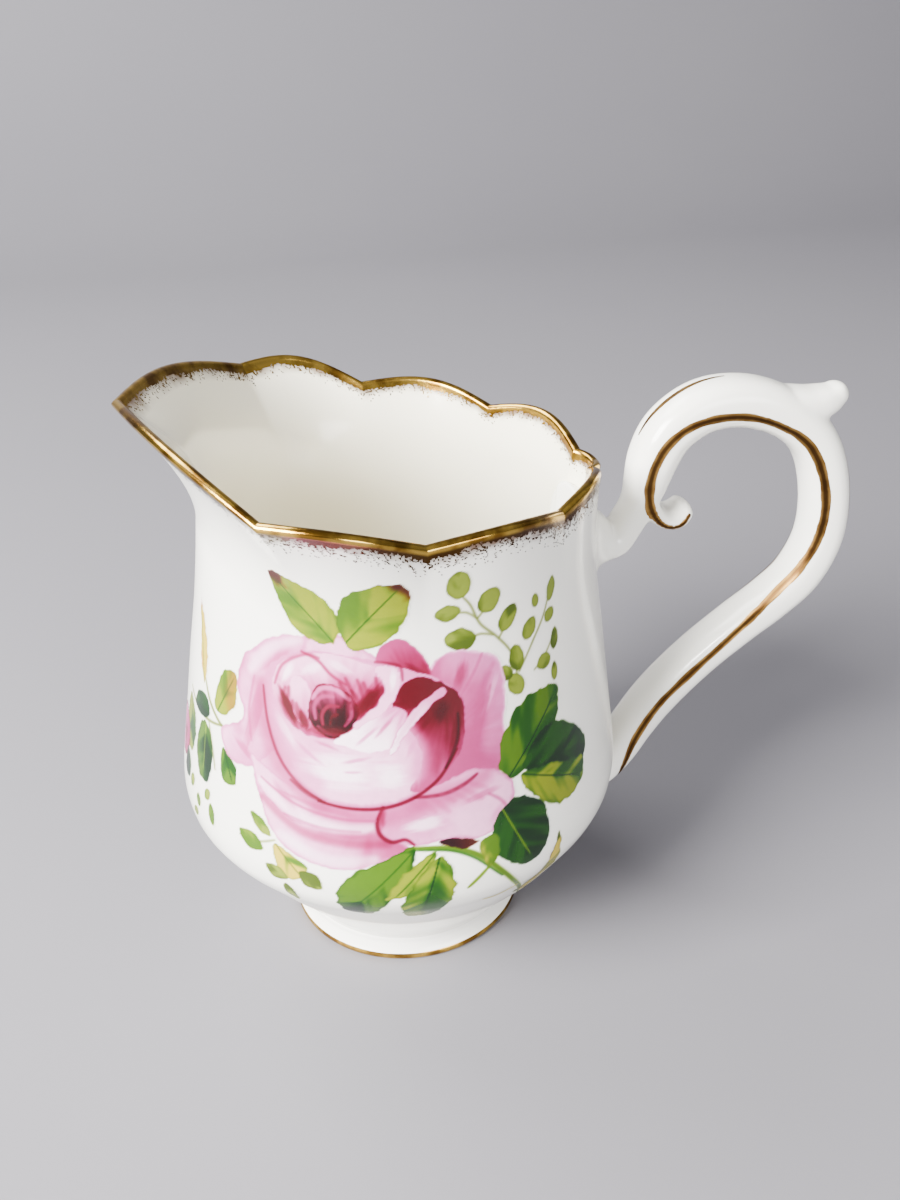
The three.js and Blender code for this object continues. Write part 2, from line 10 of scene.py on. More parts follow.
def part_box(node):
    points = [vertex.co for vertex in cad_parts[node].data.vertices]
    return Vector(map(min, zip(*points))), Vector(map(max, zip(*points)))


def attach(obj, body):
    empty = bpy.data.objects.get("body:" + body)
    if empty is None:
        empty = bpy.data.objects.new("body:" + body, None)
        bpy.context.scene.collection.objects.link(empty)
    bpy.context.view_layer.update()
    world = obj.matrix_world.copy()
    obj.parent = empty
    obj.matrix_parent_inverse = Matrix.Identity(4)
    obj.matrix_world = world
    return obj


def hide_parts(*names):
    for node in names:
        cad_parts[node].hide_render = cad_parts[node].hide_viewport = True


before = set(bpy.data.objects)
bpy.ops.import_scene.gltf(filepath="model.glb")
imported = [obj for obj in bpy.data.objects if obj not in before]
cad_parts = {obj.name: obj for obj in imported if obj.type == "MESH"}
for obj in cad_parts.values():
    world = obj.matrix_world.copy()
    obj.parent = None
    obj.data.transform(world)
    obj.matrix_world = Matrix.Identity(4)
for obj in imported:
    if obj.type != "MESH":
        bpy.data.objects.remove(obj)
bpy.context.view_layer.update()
MM = 0.001
foot_low, foot_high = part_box("foot_ring")
AXIS_X = (foot_low.x + foot_high.x) / 2 / MM

# ---------------------------------------------------------------- driving dimensions, in mm

FOOT_RADIUS = 22.0
FOOT_INNER_RADIUS = 18.4
FLOOR_Z = 7.6
WALL = 2.4
RIM_HALF_WIDTH = 0.82
RIM_CROWN = 0.8
RIM_CENTRE_X = 2.0
FLARE_START_Z = 71.0
SPOUT_FLARE_DELAY = 13.0
FLARE_POWER = 1.8

BODY_Z = [4.4, 5.0, 5.8, 7, 8.5, 10, 14, 19, 25, 28, 31, 34, 37.5, 42, 50, 60, 70, 80, 90, 105]
BODY_R = [
    20.9, 21.15, 21.6, 22.5, 23.7, 24.9, 28, 31.9, 36.1, 38.1, 39.3, 39.6, 39.3, 38.6, 37.4, 35.9, 34.3, 33.1,
    32.2, 31.4
]
AXIS_Z = [0, 19, 32, 50, 90, 105]
AXIS_SHIFT = [0, 0.8, 0.1, 0.6, 2.0, 2.4]

# Rows of the body's mesh are level up to BAND_Z and follow the rim above it.
LOW_ROWS = [4.4, 4.7, 5.0, 5.4, 5.8, 6.3]
BAND_Z = 70.0
FLOOR_CURVE_Z = 11.5
UNDERSIDE_Z = 5.2
INSIDE_ROWS = 85
MEAN_RADIUS = 36.0

# The handle's roots spread into a fillet below this height.
ROOT_TOP_Z = 84
ROOT_FILLET = 3.2

# Depths of the gold below the rim, its stand-off from the glaze, and a depth without any haze.
GOLD_OUTSIDE = 4.6
GOLD_INSIDE = 3.2
GOLD_START = 0.15
GOLD_STAND = 0.06
LINE_STAND = 0.05
NO_HAZE = 90.0

# Prints: stand-off, bearing of the front flower in degrees, and the cut between the front prints.
PRINT_STAND = 0.04
FLOWER_BEARING = -98
PRINT_SPLIT_U = -27.9

# Notches of the rim from the handle to the spout tip, and each lobe's bulge and rise.
RIM_NOTCHES = [
    (36.2, 0.0, 85.8),
    (34.3, 4.1, 86.4),
    (23.4, 23.9, 88.5),
    (1.2, 35.8, 91.1),
    (-21.0, 35.2, 96.8),
    (-40.1, 0.0, 103.5),
]
RIM_LOBES = [(0.45, 0.05), (2.7, 2.4), (3.4, 1.8), (4.0, 2.0), (2.4, 2.5)]
LOBE_SHARES = [2, 5, 5, 5, 7]

# Handle: x, z, half thickness and half width along each centre line.
STRAP = [
    (31.0, 73.0, 6.8, 6.2), (35.8, 72.2, 4.8, 5.4), (38.4, 71.3, 3.4, 4.5), (40.4, 71.4, 2.6, 4.1),
    (42.3, 74.2, 2.5, 4.1), (44.2, 77.6, 2.6, 4.2), (45.4, 81.5, 3.4, 4.5), (46.6, 86.0, 4.0, 4.7),
    (49.0, 90.6, 4.2, 4.8), (54.5, 94.3, 4.3, 4.9), (61.5, 94.8, 4.3, 4.9), (69.2, 92.2, 4.2, 4.8),
    (75.6, 86.6, 4.0, 4.7), (79.0, 78.0, 4.0, 4.7), (79.4, 67.6, 3.9, 4.7), (76.3, 60.2, 3.7, 4.8),
    (71.3, 55.3, 3.5, 4.8), (65.0, 50.6, 3.4, 4.8), (57.5, 44.5, 3.4, 4.8), (50.0, 36.8, 3.4, 4.8),
    (45.8, 31.0, 3.3, 4.8), (43.0, 26.5, 3.2, 4.9), (40.0, 23.0, 3.1, 5.0), (36.5, 20.8, 3.0, 5.1),
    (31.0, 19.0, 2.9, 5.2),
]
SCROLL = [
    (47.4, 88.0, 2.0, 4.2), (45.4, 82.5, 2.0, 4.4), (45.6, 78.6, 1.8, 4.5), (47.3, 75.7, 1.6, 4.5),
    (49.6, 74.6, 1.5, 4.5), (51.5, 75.0, 1.5, 4.4), (52.5, 76.0, 1.4, 4.0),
]
SPUR = [
    (64.0, 93.2, 3.6, 4.2), (69.5, 93.1, 3.5, 4.2), (74.4, 93.0, 3.1, 3.8), (77.6, 93.7, 2.6, 3.2),
    (79.0, 94.5, 2.1, 2.6),
]
SECTION_POWER = 2.7

# Course of the gilded line along each flank of the handle, and its half width.
FLANK_LINE = [
    (52.6, 76.3, 0.3), (51.0, 74.6, 0.5), (49.2, 74.2, 0.6), (47.0, 75.4, 0.7),
    (45.3, 78.2, 0.75), (44.7, 82.0, 0.75), (45.4, 86.0, 0.7), (47.1, 89.4, 0.65),
    (50.5, 92.3, 0.65), (55.0, 93.6, 0.6), (61.0, 93.4, 0.6), (67.0, 91.3, 0.65),
    (72.8, 87.4, 0.7), (76.3, 81.3, 0.75), (77.7, 74.6, 0.75), (76.9, 67.6, 0.75),
    (74.2, 62.2, 0.75), (70.0, 57.7, 0.7), (64.3, 52.3, 0.65), (55.1, 43.8, 0.65),
    (48.7, 37.0, 0.65), (44.6, 30.0, 0.6), (43.0, 25.4, 0.5), (41.9, 22.0, 0.45),
]

# ---------------------------------------------------------------- curves and noise


def smooth_table(xs, ys):
    """Monotone cubic through the rows, as a function of an array."""
    x = np.array(xs, float)
    y = np.array(ys, float)
    slope = np.diff(y) / np.diff(x)
    tangent = np.zeros(len(x))
    tangent[0] = slope[0]
    tangent[-1] = slope[-1]
    for i in range(1, len(x) - 1):
        if slope[i - 1] * slope[i] > 0:
            tangent[i] = 2 * slope[i - 1] * slope[i] / (slope[i - 1] + slope[i])

    def value(at):
        at = np.asarray(at, float)
        i = np.clip(np.searchsorted(x, at, side="right") - 1, 0, len(x) - 2)
        h = x[i + 1] - x[i]
        t = np.clip((at - x[i]) / h, 0, 1)
        a = 2 * t**3 - 3 * t**2 + 1
        b = t**3 - 2 * t**2 + t
        c = -2 * t**3 + 3 * t**2
        d = t**3 - t**2
        return a * y[i] + b * h * tangent[i] + c * y[i + 1] + d * h * tangent[i + 1]

    return value


def catmull(points, steps, closed=False):
    """Smooth line through a few points, with this many steps in each span."""
    p = np.array(points, float)
    n = len(p)
    spans = n if closed else n - 1
    out = []
    for i in range(spans):
        if closed:
            a, b, c, d = p[(i - 1) % n], p[i], p[(i + 1) % n], p[(i + 2) % n]
        else:
            a, b, c, d = p[max(i - 1, 0)], p[i], p[i + 1], p[min(i + 2, n - 1)]
        before = np.sqrt(np.linalg.norm((b - a)[:2])) or 1.0
        span = np.sqrt(np.linalg.norm((c - b)[:2])) or 1.0
        after = np.sqrt(np.linalg.norm((d - c)[:2])) or 1.0
        m1 = (c - b) + span * ((b - a) / before - (c - a) / (before + span))
        m2 = (c - b) + span * ((d - c) / after - (d - b) / (span + after))
        for t in np.arange(steps) / steps:
            h1 = 2 * t**3 - 3 * t**2 + 1
            h2 = t**3 - 2 * t**2 + t
            h3 = -2 * t**3 + 3 * t**2
            h4 = t**3 - t**2
            out.append(h1 * b + h2 * m1 + h3 * c + h4 * m2)
    if not closed:
        out.append(p[-1])
    return np.array(out)


def lattice(ix, iy, seed):
    """Repeatable random value in 0..1 at whole-number places."""
    h = (ix * 374761393 + iy * 668265263 + seed * 974634777) & 0xFFFFFFFF
    h = ((h ^ (h >> 13)) * 1274126177) & 0xFFFFFFFF
    return ((h ^ (h >> 16)) & 0xFFFF) / 65535.0


def value_noise(x, y, seed=0):
    """Smooth noise in 0..1 over the plane."""
    fx = np.floor(x)
    fy = np.floor(y)
    ix = fx.astype(np.int64)
    iy = fy.astype(np.int64)
    u = x - fx
    v = y - fy
    u = u * u * (3 - 2 * u)
    v = v * v * (3 - 2 * v)
    top = lattice(ix, iy, seed) * (1 - u) + lattice(ix + 1, iy, seed) * u
    low = lattice(ix, iy + 1, seed) * (1 - u) + lattice(ix + 1, iy + 1, seed) * u
    return top * (1 - v) + low * v


def fractal(x, y, seed=0, octaves=3):
    """Smooth noise in 0..1 with finer and finer detail added."""
    total = 0
    weight = 0
    for k in range(octaves):
        total = total + value_noise(x * 2**k, y * 2**k, seed + 17 * k) / 2**k
        weight += 1 / 2**k
    return total / weight


def smoothstep(a, b, x):
    t = np.clip((x - a) / (b - a), 0, 1)
    return t * t * (3 - 2 * t)


# ---------------------------------------------------------------- the body's surface, in mm

body_radius = smooth_table(BODY_Z, BODY_R)
axis_shift = smooth_table(AXIS_Z, AXIS_SHIFT)


def rim_on_lobe(lobe, t):
    a = np.array(RIM_NOTCHES[lobe])
    b = np.array(RIM_NOTCHES[lobe + 1])
    out = np.array([b[1] - a[1], a[0] - b[0], 0])
    out /= np.linalg.norm(out)
    if out[0] * (a[0] + b[0]) + out[1] * (a[1] + b[1]) < 0:
        out = -out
    swell = math.sin(math.pi * t)
    point = a + (b - a) * t + out * RIM_LOBES[lobe][0] * swell
    point[2] += RIM_LOBES[lobe][1] * swell
    return point


RIM_TABLE = [rim_on_lobe(lobe, i / 40) for lobe in range(5) for i in range(40)]
RIM_TABLE = np.array(RIM_TABLE + [rim_on_lobe(4, 1)])
RIM_ANGLES = np.abs(np.arctan2(RIM_TABLE[:, 1], RIM_TABLE[:, 0] - RIM_CENTRE_X))


def rim_at(angle):
    """Rim centre line at these angles; the -Y side mirrors the +Y side."""
    turned = np.arctan2(np.sin(angle), np.cos(angle))
    wanted = np.abs(turned)
    point = np.stack([np.interp(wanted, RIM_ANGLES, RIM_TABLE[:, k]) for k in range(3)], -1)
    point[..., 1] *= np.where(turned < 0, -1, 1)
    return point


def outer(angle, z):
    """The outer skin: a round baluster that flares into the scalloped rim."""
    angle, z = np.broadcast_arrays(np.asarray(angle, float), np.asarray(z, float))
    rim = rim_at(angle)
    e = np.stack([np.cos(angle), np.sin(angle)], -1)
    base = e * body_radius(z)[..., None]
    base[..., 0] += axis_shift(z)
    start = FLARE_START_Z + SPOUT_FLARE_DELAY * np.maximum(0, -np.cos(angle)) ** 2
    top = rim[..., 2]
    under = e * body_radius(top)[..., None]
    under[..., 0] += axis_shift(top)
    edge = rim[..., :2] + e * RIM_HALF_WIDTH
    blend = np.clip((z - start) / (top - start), 0, None) ** FLARE_POWER
    flat = base + (edge - under) * blend[..., None]
    return np.concatenate([flat, z[..., None]], -1)


def outer_normal(angle, z):
    around = outer(angle + 0.01, z) - outer(angle - 0.01, z)
    up = outer(angle, z + 0.2) - outer(angle, z - 0.2)
    n = np.cross(around, up)
    return n / np.linalg.norm(n, axis=-1, keepdims=True)


def inner(angle, z):
    """The inner skin lies one wall thickness inside, thinning toward the rim."""
    angle, z = np.broadcast_arrays(np.asarray(angle, float), np.asarray(z, float))
    rim = rim_at(angle)
    e = np.stack([np.cos(angle), np.sin(angle), np.zeros_like(angle)], -1)
    rise = ((outer(angle, z) - outer(angle, z - 0.5)) * e).sum(-1) / 0.5
    depth = smoothstep(0, 9, rim[..., 2] - z)
    wall = WALL * np.hypot(1, rise) * depth + 2 * RIM_HALF_WIDTH * (1 - depth)
    return outer(angle, z) - e * wall[..., None]


def crown(angle, swing, stand=0.0):
    """Points over the top of the rim; swing 0 is the outer edge and pi the inner edge."""
    point = rim_at(angle)
    e = np.stack([np.cos(angle), np.sin(angle)], -1)
    point[..., :2] += e * (np.cos(swing) * (RIM_HALF_WIDTH + stand))
    point[..., 2] += math.sin(swing) * (RIM_CROWN + stand)
    return point


def rim_columns(refine):
    """Angles round the whole rim, with a column at every notch."""
    half = []
    for lobe, share in enumerate(LOBE_SHARES):
        for i in range(share * refine):
            p = rim_on_lobe(lobe, i / (share * refine))
            half.append(math.atan2(p[1], p[0] - RIM_CENTRE_X))
    return np.array(half + [math.pi] + [2 * math.pi - a for a in half[:0:-1]])


# ---------------------------------------------------------------- mesh helpers


def in_scene(name, data):
    obj = bpy.data.objects.new(name, data)
    bpy.context.scene.collection.objects.link(obj)
    return obj


def mesh_object(name, points, faces):
    """Mesh object from points in mm about the jug's axis."""
    mesh = bpy.data.meshes.new(name)
    placed = (np.asarray(points, float) + np.array([AXIS_X, 0, 0])) * MM
    mesh.from_pydata(placed.tolist(), [], [tuple(int(i) for i in f) for f in faces])
    mesh.update()
    return in_scene(name, mesh)


def grid_faces(columns, rows, closed):
    """Quads of a grid stored column by column."""
    last = columns if closed else columns - 1
    j, i = np.meshgrid(np.arange(last), np.arange(rows - 1), indexing="ij")
    k = (j + 1) % columns
    quads = np.stack([j * rows + i, k * rows + i, k * rows + i + 1, j * rows + i + 1], -1)
    return quads.reshape(-1, 4)


def outward(obj):
    bm = bmesh.new()
    bm.from_mesh(obj.data)
    bmesh.ops.recalc_face_normals(bm, faces=bm.faces)
    bm.to_mesh(obj.data)
    bm.free()


def shade(obj, sharp_angle=50):
    for polygon in obj.data.polygons:
        polygon.use_smooth = True
    obj.data.set_sharp_from_angle(angle=math.radians(sharp_angle))


def number_attribute(obj, name, values):
    layer = obj.data.attributes.new(name, "FLOAT", "POINT")
    layer.data.foreach_set("value", np.asarray(values, np.float32))


def colour_attribute(obj, name, colours):
    layer = obj.data.attributes.new(name, "FLOAT_COLOR", "POINT")
    rgba = np.ones((len(colours), 4), np.float32)
    rgba[:, :3] = colours
    layer.data.foreach_set("color", rgba.ravel())


def place(obj, slot, *nodes):
    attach(obj, "root")
    if nodes:
        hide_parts(*nodes)
    return obj


def lathe(name, profile, segments):
    """Closed turned solid from an (r, z) outline."""
    outline = np.array(profile, float)
    angles = np.linspace(0, 2 * math.pi, segments, endpoint=False)
    rows = len(outline)
    points = np.zeros((segments, rows, 3))
    points[:, :, 0] = np.cos(angles)[:, None] * outline[:, 0]
    points[:, :, 1] = np.sin(angles)[:, None] * outline[:, 0]
    points[:, :, 2] = outline[:, 1]
    faces = grid_faces(segments, rows, True)
    ends = np.stack([np.roll(np.arange(segments), -1) * rows, np.arange(segments) * rows], -1)
    last = ends + rows - 1
    closing = np.concatenate([ends, last[:, ::-1]], 1)
    obj = mesh_object(name, points.reshape(-1, 3), np.concatenate([faces, closing]))
    outward(obj)
    return obj


# ---------------------------------------------------------------- materials


def linear(colour):
    """Linear colour from a display colour given as three values in 0..1."""
    c = np.asarray(colour, float)
    return np.where(c <= 0.04045, c / 12.92, ((c + 0.055) / 1.055) ** 2.4)


CHINA = (0.968, 0.96, 0.925)
PRINT_DEPTH = 1.75


def new_material(name):
    material = bpy.data.materials.new(name)
    material.use_nodes = True
    tree = material.node_tree
    return material, tree, tree.nodes["Principled BSDF"]


def noise_node(tree, scale, detail):
    coords = tree.nodes.new("ShaderNodeTexCoord")
    noise = tree.nodes.new("ShaderNodeTexNoise")
    noise.inputs["Scale"].default_value = scale
    noise.inputs["Detail"].default_value = detail
    tree.links.new(coords.outputs["Object"], noise.inputs["Vector"])
    return noise


def ramp_node(tree, source, stops):
    ramp = tree.nodes.new("ShaderNodeValToRGB")
    while len(ramp.color_ramp.elements) < len(stops):
        ramp.color_ramp.elements.new(0.5)
    for element, (at, colour) in zip(ramp.color_ramp.elements, stops):
        element.position = at
        element.color = (*linear(colour), 1)
    tree.links.new(source, ramp.inputs["Fac"])
    return ramp


def mix_node(tree, blend, factor, first, second):
    mix = tree.nodes.new("ShaderNodeMix")
    mix.data_type = "RGBA"
    mix.blend_type = blend
    for socket, value in ((mix.inputs["Factor"], factor), (mix.inputs[6], first), (mix.inputs[7], second)):
        if isinstance(value, bpy.types.NodeSocket):
            tree.links.new(value, socket)
        elif isinstance(value, tuple):
            socket.default_value = (*linear(value), 1)
        else:
            socket.default_value = value
    return mix.outputs[2]


def attribute_node(tree, name):
    attribute = tree.nodes.new("ShaderNodeAttribute")
    attribute.attribute_name = name
    return attribute


def bump_node(tree, noise, strength, distance, *sockets):
    bump = tree.nodes.new("ShaderNodeBump")
    bump.inputs["Strength"].default_value = strength
    bump.inputs["Distance"].default_value = distance
    tree.links.new(noise.outputs["Fac"], bump.inputs["Height"])
    for socket in sockets:
        tree.links.new(bump.outputs["Normal"], socket)


def glaze(bsdf):
    bsdf.inputs["Roughness"].default_value = 0.2
    bsdf.inputs["Coat Weight"].default_value = 0.35
    bsdf.inputs["Coat Roughness"].default_value = 0.04
    bsdf.inputs["IOR"].default_value = 1.5


def glazed_china(name, darker, waviness):
    """Slightly mottled china under a very slightly wavy glaze; returns its colour socket too."""
    material, tree, bsdf = new_material(name)
    noise = noise_node(tree, 40.0, 3.0)
    low = tuple(c - darker for c in CHINA)
    high = tuple(min(c + 0.004, 1) for c in CHINA)
    ramp = ramp_node(tree, noise.outputs["Fac"], [(0.3, low), (0.7, high)])
    tree.links.new(ramp.outputs["Color"], bsdf.inputs["Base Color"])
    glaze(bsdf)
    waves = noise_node(tree, 90.0, 2.0)
    bump_node(tree, waves, waviness, 0.0004, bsdf.inputs["Normal"], bsdf.inputs["Coat Normal"])
    return material, ramp.outputs["Color"]


def body_china():
    """The body's china is browned by the haze of gold near the rim, and gets a painted warm shade inside the
    jug.
    """
    material, china = glazed_china("glazed_china", 0.006, 0.06)
    tree = material.node_tree
    inside = attribute_node(tree, "inside")
    haze = attribute_node(tree, "gold_haze")
    # Painted warm shade on the inside of the jug.
    inside_painted_shade = mix_node(tree, "MIX", inside.outputs["Fac"], china, (0.955, 0.935, 0.86))
    colour = mix_node(tree, "MIX", haze.outputs["Fac"], inside_painted_shade, (0.35, 0.22, 0.10))
    tree.links.new(colour, tree.nodes["Principled BSDF"].inputs["Base Color"])
    return material


def gold_material(name, bright, dark, thin_and_shaded_brown, roughness):
    """Fired gold: slightly mottled, and browner by a mask that marks both thin gold and painted shade."""
    material, tree, bsdf = new_material(name)
    noise = noise_node(tree, 230.0, 3.0)
    ramp = ramp_node(tree, noise.outputs["Fac"], [(0.4, dark), (0.58, bright)])
    thin_and_shade = attribute_node(tree, "thin_gold_and_painted_shade")
    colour = mix_node(tree, "MIX", thin_and_shade.outputs["Fac"], ramp.outputs["Color"], thin_and_shaded_brown)
    tree.links.new(colour, bsdf.inputs["Base Color"])
    bsdf.inputs["Metallic"].default_value = 1.0
    bsdf.inputs["Roughness"].default_value = roughness
    bump_node(tree, noise, 0.2, 0.0003, bsdf.inputs["Normal"])
    return material


def print_material():
    """The printed enamel takes its colours from the painted attribute and shines less."""
    material, tree, bsdf = new_material("rose_print")
    paint = attribute_node(tree, "paint")
    noise = noise_node(tree, 900.0, 2.0)
    ramp = ramp_node(tree, noise.outputs["Fac"], [(0.3, (0.97, 0.97, 0.97)), (0.7, (1, 1, 1))])
    colour = mix_node(tree, "MULTIPLY", 1.0, paint.outputs["Color"], ramp.outputs["Color"])
    tree.links.new(colour, bsdf.inputs["Base Color"])
    glaze(bsdf)
    bsdf.inputs["Coat Weight"].default_value = 0.08
    bsdf.inputs["Specular IOR Level"].default_value = 0.3
    return material


BODY_CHINA = body_china()
PLAIN_CHINA = glazed_china("glazed_china_plain", 0.008, 0.08)[0]
# The last colour of each gold is the brown of thin gold and of painted shade; on the handle lines it is a
# painted dark reflection.
RIM_GOLD = gold_material("rim_gold", (0.80, 0.65, 0.29), (0.50, 0.36, 0.13), (0.25, 0.15, 0.06), 0.2)
LINE_GOLD = gold_material("line_gold", (0.64, 0.49, 0.26), (0.47, 0.34, 0.17), (0.20, 0.12, 0.06), 0.36)
PRINT = print_material()

# ---------------------------------------------------------------- body and foot


def build_body():
    """The whole wall: outside, crown of the rim, inside and floor."""
    angles = rim_columns(6)
    rim_z = rim_at(angles)[:, 2]
    rows = []
    haze = []
    for z in [*LOW_ROWS, *np.linspace(7, BAND_Z, 76)]:
        rows.append(outer(angles, np.full_like(angles, z)))
        haze.append(rim_z - z)
    for f in np.linspace(0, 1, 37)[1:]:
        z = BAND_Z + (rim_z - 0.15 - BAND_Z) * f
        rows.append(outer(angles, z))
        haze.append(rim_z - z)
    for swing in np.linspace(0.08, 0.92, 11) * math.pi:
        rows.append(crown(angles, swing))
        haze.append(np.zeros_like(angles))
    for f in np.linspace(0, 1, 28):
        z = rim_z - 0.2 + (BAND_Z - rim_z + 0.2) * f
        rows.append(inner(angles, z))
        haze.append((rim_z - z) * 1.6)
    for z in np.linspace(BAND_Z, FLOOR_CURVE_Z, 48)[1:]:
        rows.append(inner(angles, np.full_like(angles, z)))
        haze.append(rim_z - z)
    low = rows[-1]
    for k in range(1, 12):
        t = k / 12
        ring = low * np.array([1 - t**1.6, 1 - t**1.6, 1])
        ring[:, 2] = FLOOR_CURVE_Z - (FLOOR_CURVE_Z - FLOOR_Z) * math.sin(t * math.pi / 2) ** 0.75
        rows.append(ring)
        haze.append(np.full_like(angles, NO_HAZE))
    points = np.stack(rows, 1)
    columns, count = points.shape[:2]
    flat = points.reshape(-1, 3)
    faces = [tuple(f) for f in grid_faces(columns, count, True)]
    top = len(flat)
    flat = np.concatenate([flat, [[0, 0, FLOOR_Z], [0, 0, UNDERSIDE_Z]]])
    for j in range(columns):
        k = (j + 1) % columns
        faces.append((j * count + count - 1, k * count + count - 1, top))
        faces.append((k * count, j * count, top + 1))
    obj = mesh_object("china_body", flat, faces)
    outward(obj)
    shade(obj, 60)
    depth = np.stack(haze, 1).ravel()
    along = np.repeat(angles * MEAN_RADIUS, count)
    ragged = fractal(along * 0.9, depth * 0.9, 5) - 0.5
    value = 0.96 * smoothstep(3.3, 0.7, depth + ragged * 2.0)
    number_attribute(obj, "gold_haze", np.concatenate([value, [0, 0]]))
    # Rows inside the jug, where the material paints a warm shade.
    within = np.tile((np.arange(count) >= count - INSIDE_ROWS).astype(float), columns)
    number_attribute(obj, "inside", np.concatenate([within, [1, 0]]))
    obj.data.materials.append(BODY_CHINA)
    return place(obj, "porcelain", "body")


def build_foot():
    """Turned foot with a soft cove up into the body."""
    wall = [
        (20.3, 5.4), (20.86, 4.35), (20.98, 3.3), (21.4, 2.1), (FOOT_RADIUS, 1.05), (FOOT_RADIUS - 0.12, 0.4),
        (FOOT_RADIUS - 0.75, 0.02), (FOOT_RADIUS - 2.4, 0.02), (FOOT_INNER_RADIUS + 0.35, 0.6),
        (FOOT_INNER_RADIUS, 1.6), (FOOT_INNER_RADIUS - 0.8, 3.6), (15.0, 4.4), (6.0, 4.6),
    ]
    profile = [(r, max(z, 0.0)) for r, z in catmull(wall, 8)] + [(0.02, 4.6), (0.02, 6.0), (17.0, 6.0)]
    obj = lathe("china_foot", profile, 160)
    shade(obj, 50)
    obj.data.materials.append(PLAIN_CHINA)
    return place(obj, "porcelain", "foot_ring")


# ---------------------------------------------------------------- handle


def sweep(name, rows, steps, around):
    """Soft rounded-box section swept along a line in the middle plane, with a domed end."""
    line = catmull(rows, steps)
    tangent = np.gradient(line[:, :2], axis=0)
    tangent /= np.linalg.norm(tangent, axis=1, keepdims=True)
    angle = 2 * math.pi * np.arange(around) / around
    c = np.sign(np.cos(angle)) * np.abs(np.cos(angle)) ** (2 / SECTION_POWER)
    s = np.sign(np.sin(angle)) * np.abs(np.sin(angle)) ** (2 / SECTION_POWER)
    rings = []
    for (x, z, thick, wide), (tx, tz) in zip(line, tangent):
        ring = np.stack([x - tz * thick * c, wide * s, z + tx * thick * c], -1)
        rings.append(ring)
    (x, z, thick, wide), (tx, tz) = line[-1], tangent[-1]
    for k in range(1, 7):
        a = k / 6 * math.pi / 2
        size = max(math.cos(a), 0.02)
        ahead = math.sin(a) * min(thick, wide)
        ring = np.stack([x + tx * ahead - tz * thick * c * size, wide * s * size,
                         z + tz * ahead + tx * thick * c * size], -1)
        rings.append(ring)
    points = np.concatenate(rings)
    faces = [tuple(f) for f in grid_faces(len(rings), around, False)]
    faces += [(j * around + around - 1, (j + 1) * around + around - 1, (j + 1) * around, j * around)
              for j in range(len(rings) - 1)]
    faces.append(tuple(range(around)))
    faces.append(tuple(range(len(points) - 1, len(points) - around - 1, -1)))
    obj = mesh_object(name, points, faces)
    outward(obj)
    return obj


def apply_modifiers(obj):
    """Replaces the mesh by what its modifiers make of it."""
    graph = bpy.context.evaluated_depsgraph_get()
    made = bpy.data.meshes.new_from_object(obj.evaluated_get(graph))
    obj.modifiers.clear()
    obj.data = made


def build_handle():
    """Strap, scroll and thumb spur drawn together into one soft form."""
    parts = [sweep("strap", STRAP, 10, 40), sweep("scroll", SCROLL, 10, 36), sweep("spur", SPUR, 10, 36)]
    bm = bmesh.new()
    for part in parts:
        bm.from_mesh(part.data)
        bpy.data.objects.remove(part)
    mesh = bpy.data.meshes.new("china_handle")
    bm.to_mesh(mesh)
    bm.free()
    obj = in_scene("china_handle", mesh)
    remesh = obj.modifiers.new("melt", "REMESH")
    remesh.mode = "VOXEL"
    remesh.voxel_size = 0.42 * MM
    soften = obj.modifiers.new("soften", "SMOOTH")
    soften.factor = 0.5
    soften.iterations = 8
    apply_modifiers(obj)
    flare_roots(obj)
    shade(obj, 80)
    obj.data.materials.append(PLAIN_CHINA)
    return place(obj, "porcelain", "handle", "upper_handle_joint", "lower_handle_joint")


def flare_roots(obj):
    """Spreads the ends of the handle into a fillet where they meet the body."""
    mesh = obj.data
    count = len(mesh.vertices)
    co = np.zeros(count * 3)
    mesh.vertices.foreach_get("co", co)
    normals = np.zeros(count * 3)
    mesh.vertices.foreach_get("normal", normals)
    p = co.reshape(-1, 3) / MM - np.array([AXIS_X, 0, 0])
    n = normals.reshape(-1, 3)
    angle = np.arctan2(p[:, 1], p[:, 0] - 1.0)
    z = np.clip(p[:, 2], 8, ROOT_TOP_Z)
    skin = outer(angle, z)
    m = outer_normal(angle, z)
    d = ((p - skin) * m).sum(1)
    side = n - (n * m).sum(1, keepdims=True) * m
    side /= np.maximum(np.linalg.norm(side, axis=1, keepdims=True), 0.2)
    reach = np.clip(ROOT_FILLET - d, 0, ROOT_FILLET)
    spread = ROOT_FILLET - np.sqrt(np.maximum(ROOT_FILLET**2 - reach**2, 0))
    spread = np.where(p[:, 2] < ROOT_TOP_Z, spread, 0)
    p = p + side * spread[:, None] * 0.8
    placed = (p + np.array([AXIS_X, 0, 0])) * MM
    mesh.vertices.foreach_set("co", placed.ravel())
    mesh.update()


# ---------------------------------------------------------------- gilding


def gold_mask(s, d):
    """Where the gold is: solid on the bead, then thinning to fine flecks on both sides."""
    broad = fractal(s * 0.22, d * 0.15 + 5, 23, 2) - 0.5
    fine = fractal(s * 3.1, d * 3.1, 11, 2)
    fleck = lattice(np.floor(s * 5.2).astype(np.int64), np.floor(d * 6.3).astype(np.int64) + 90, 7)
    reach = np.where(d >= 0, np.abs(d) * 0.7 + broad * 1.2, np.abs(d) * 1.4 + broad * 1.6)
    solid = reach < 0.85 + (fine - 0.5) * 0.9
    cloud = (fine > 0.42 + 0.14 * reach) & (reach < 2.1) & (fleck > 0.35)
    loose = (fine > 0.54) & (fleck > 0.52 + 0.13 * reach) & (reach < 3.6)
    return solid | cloud | loose | (np.abs(d) < 0.2)


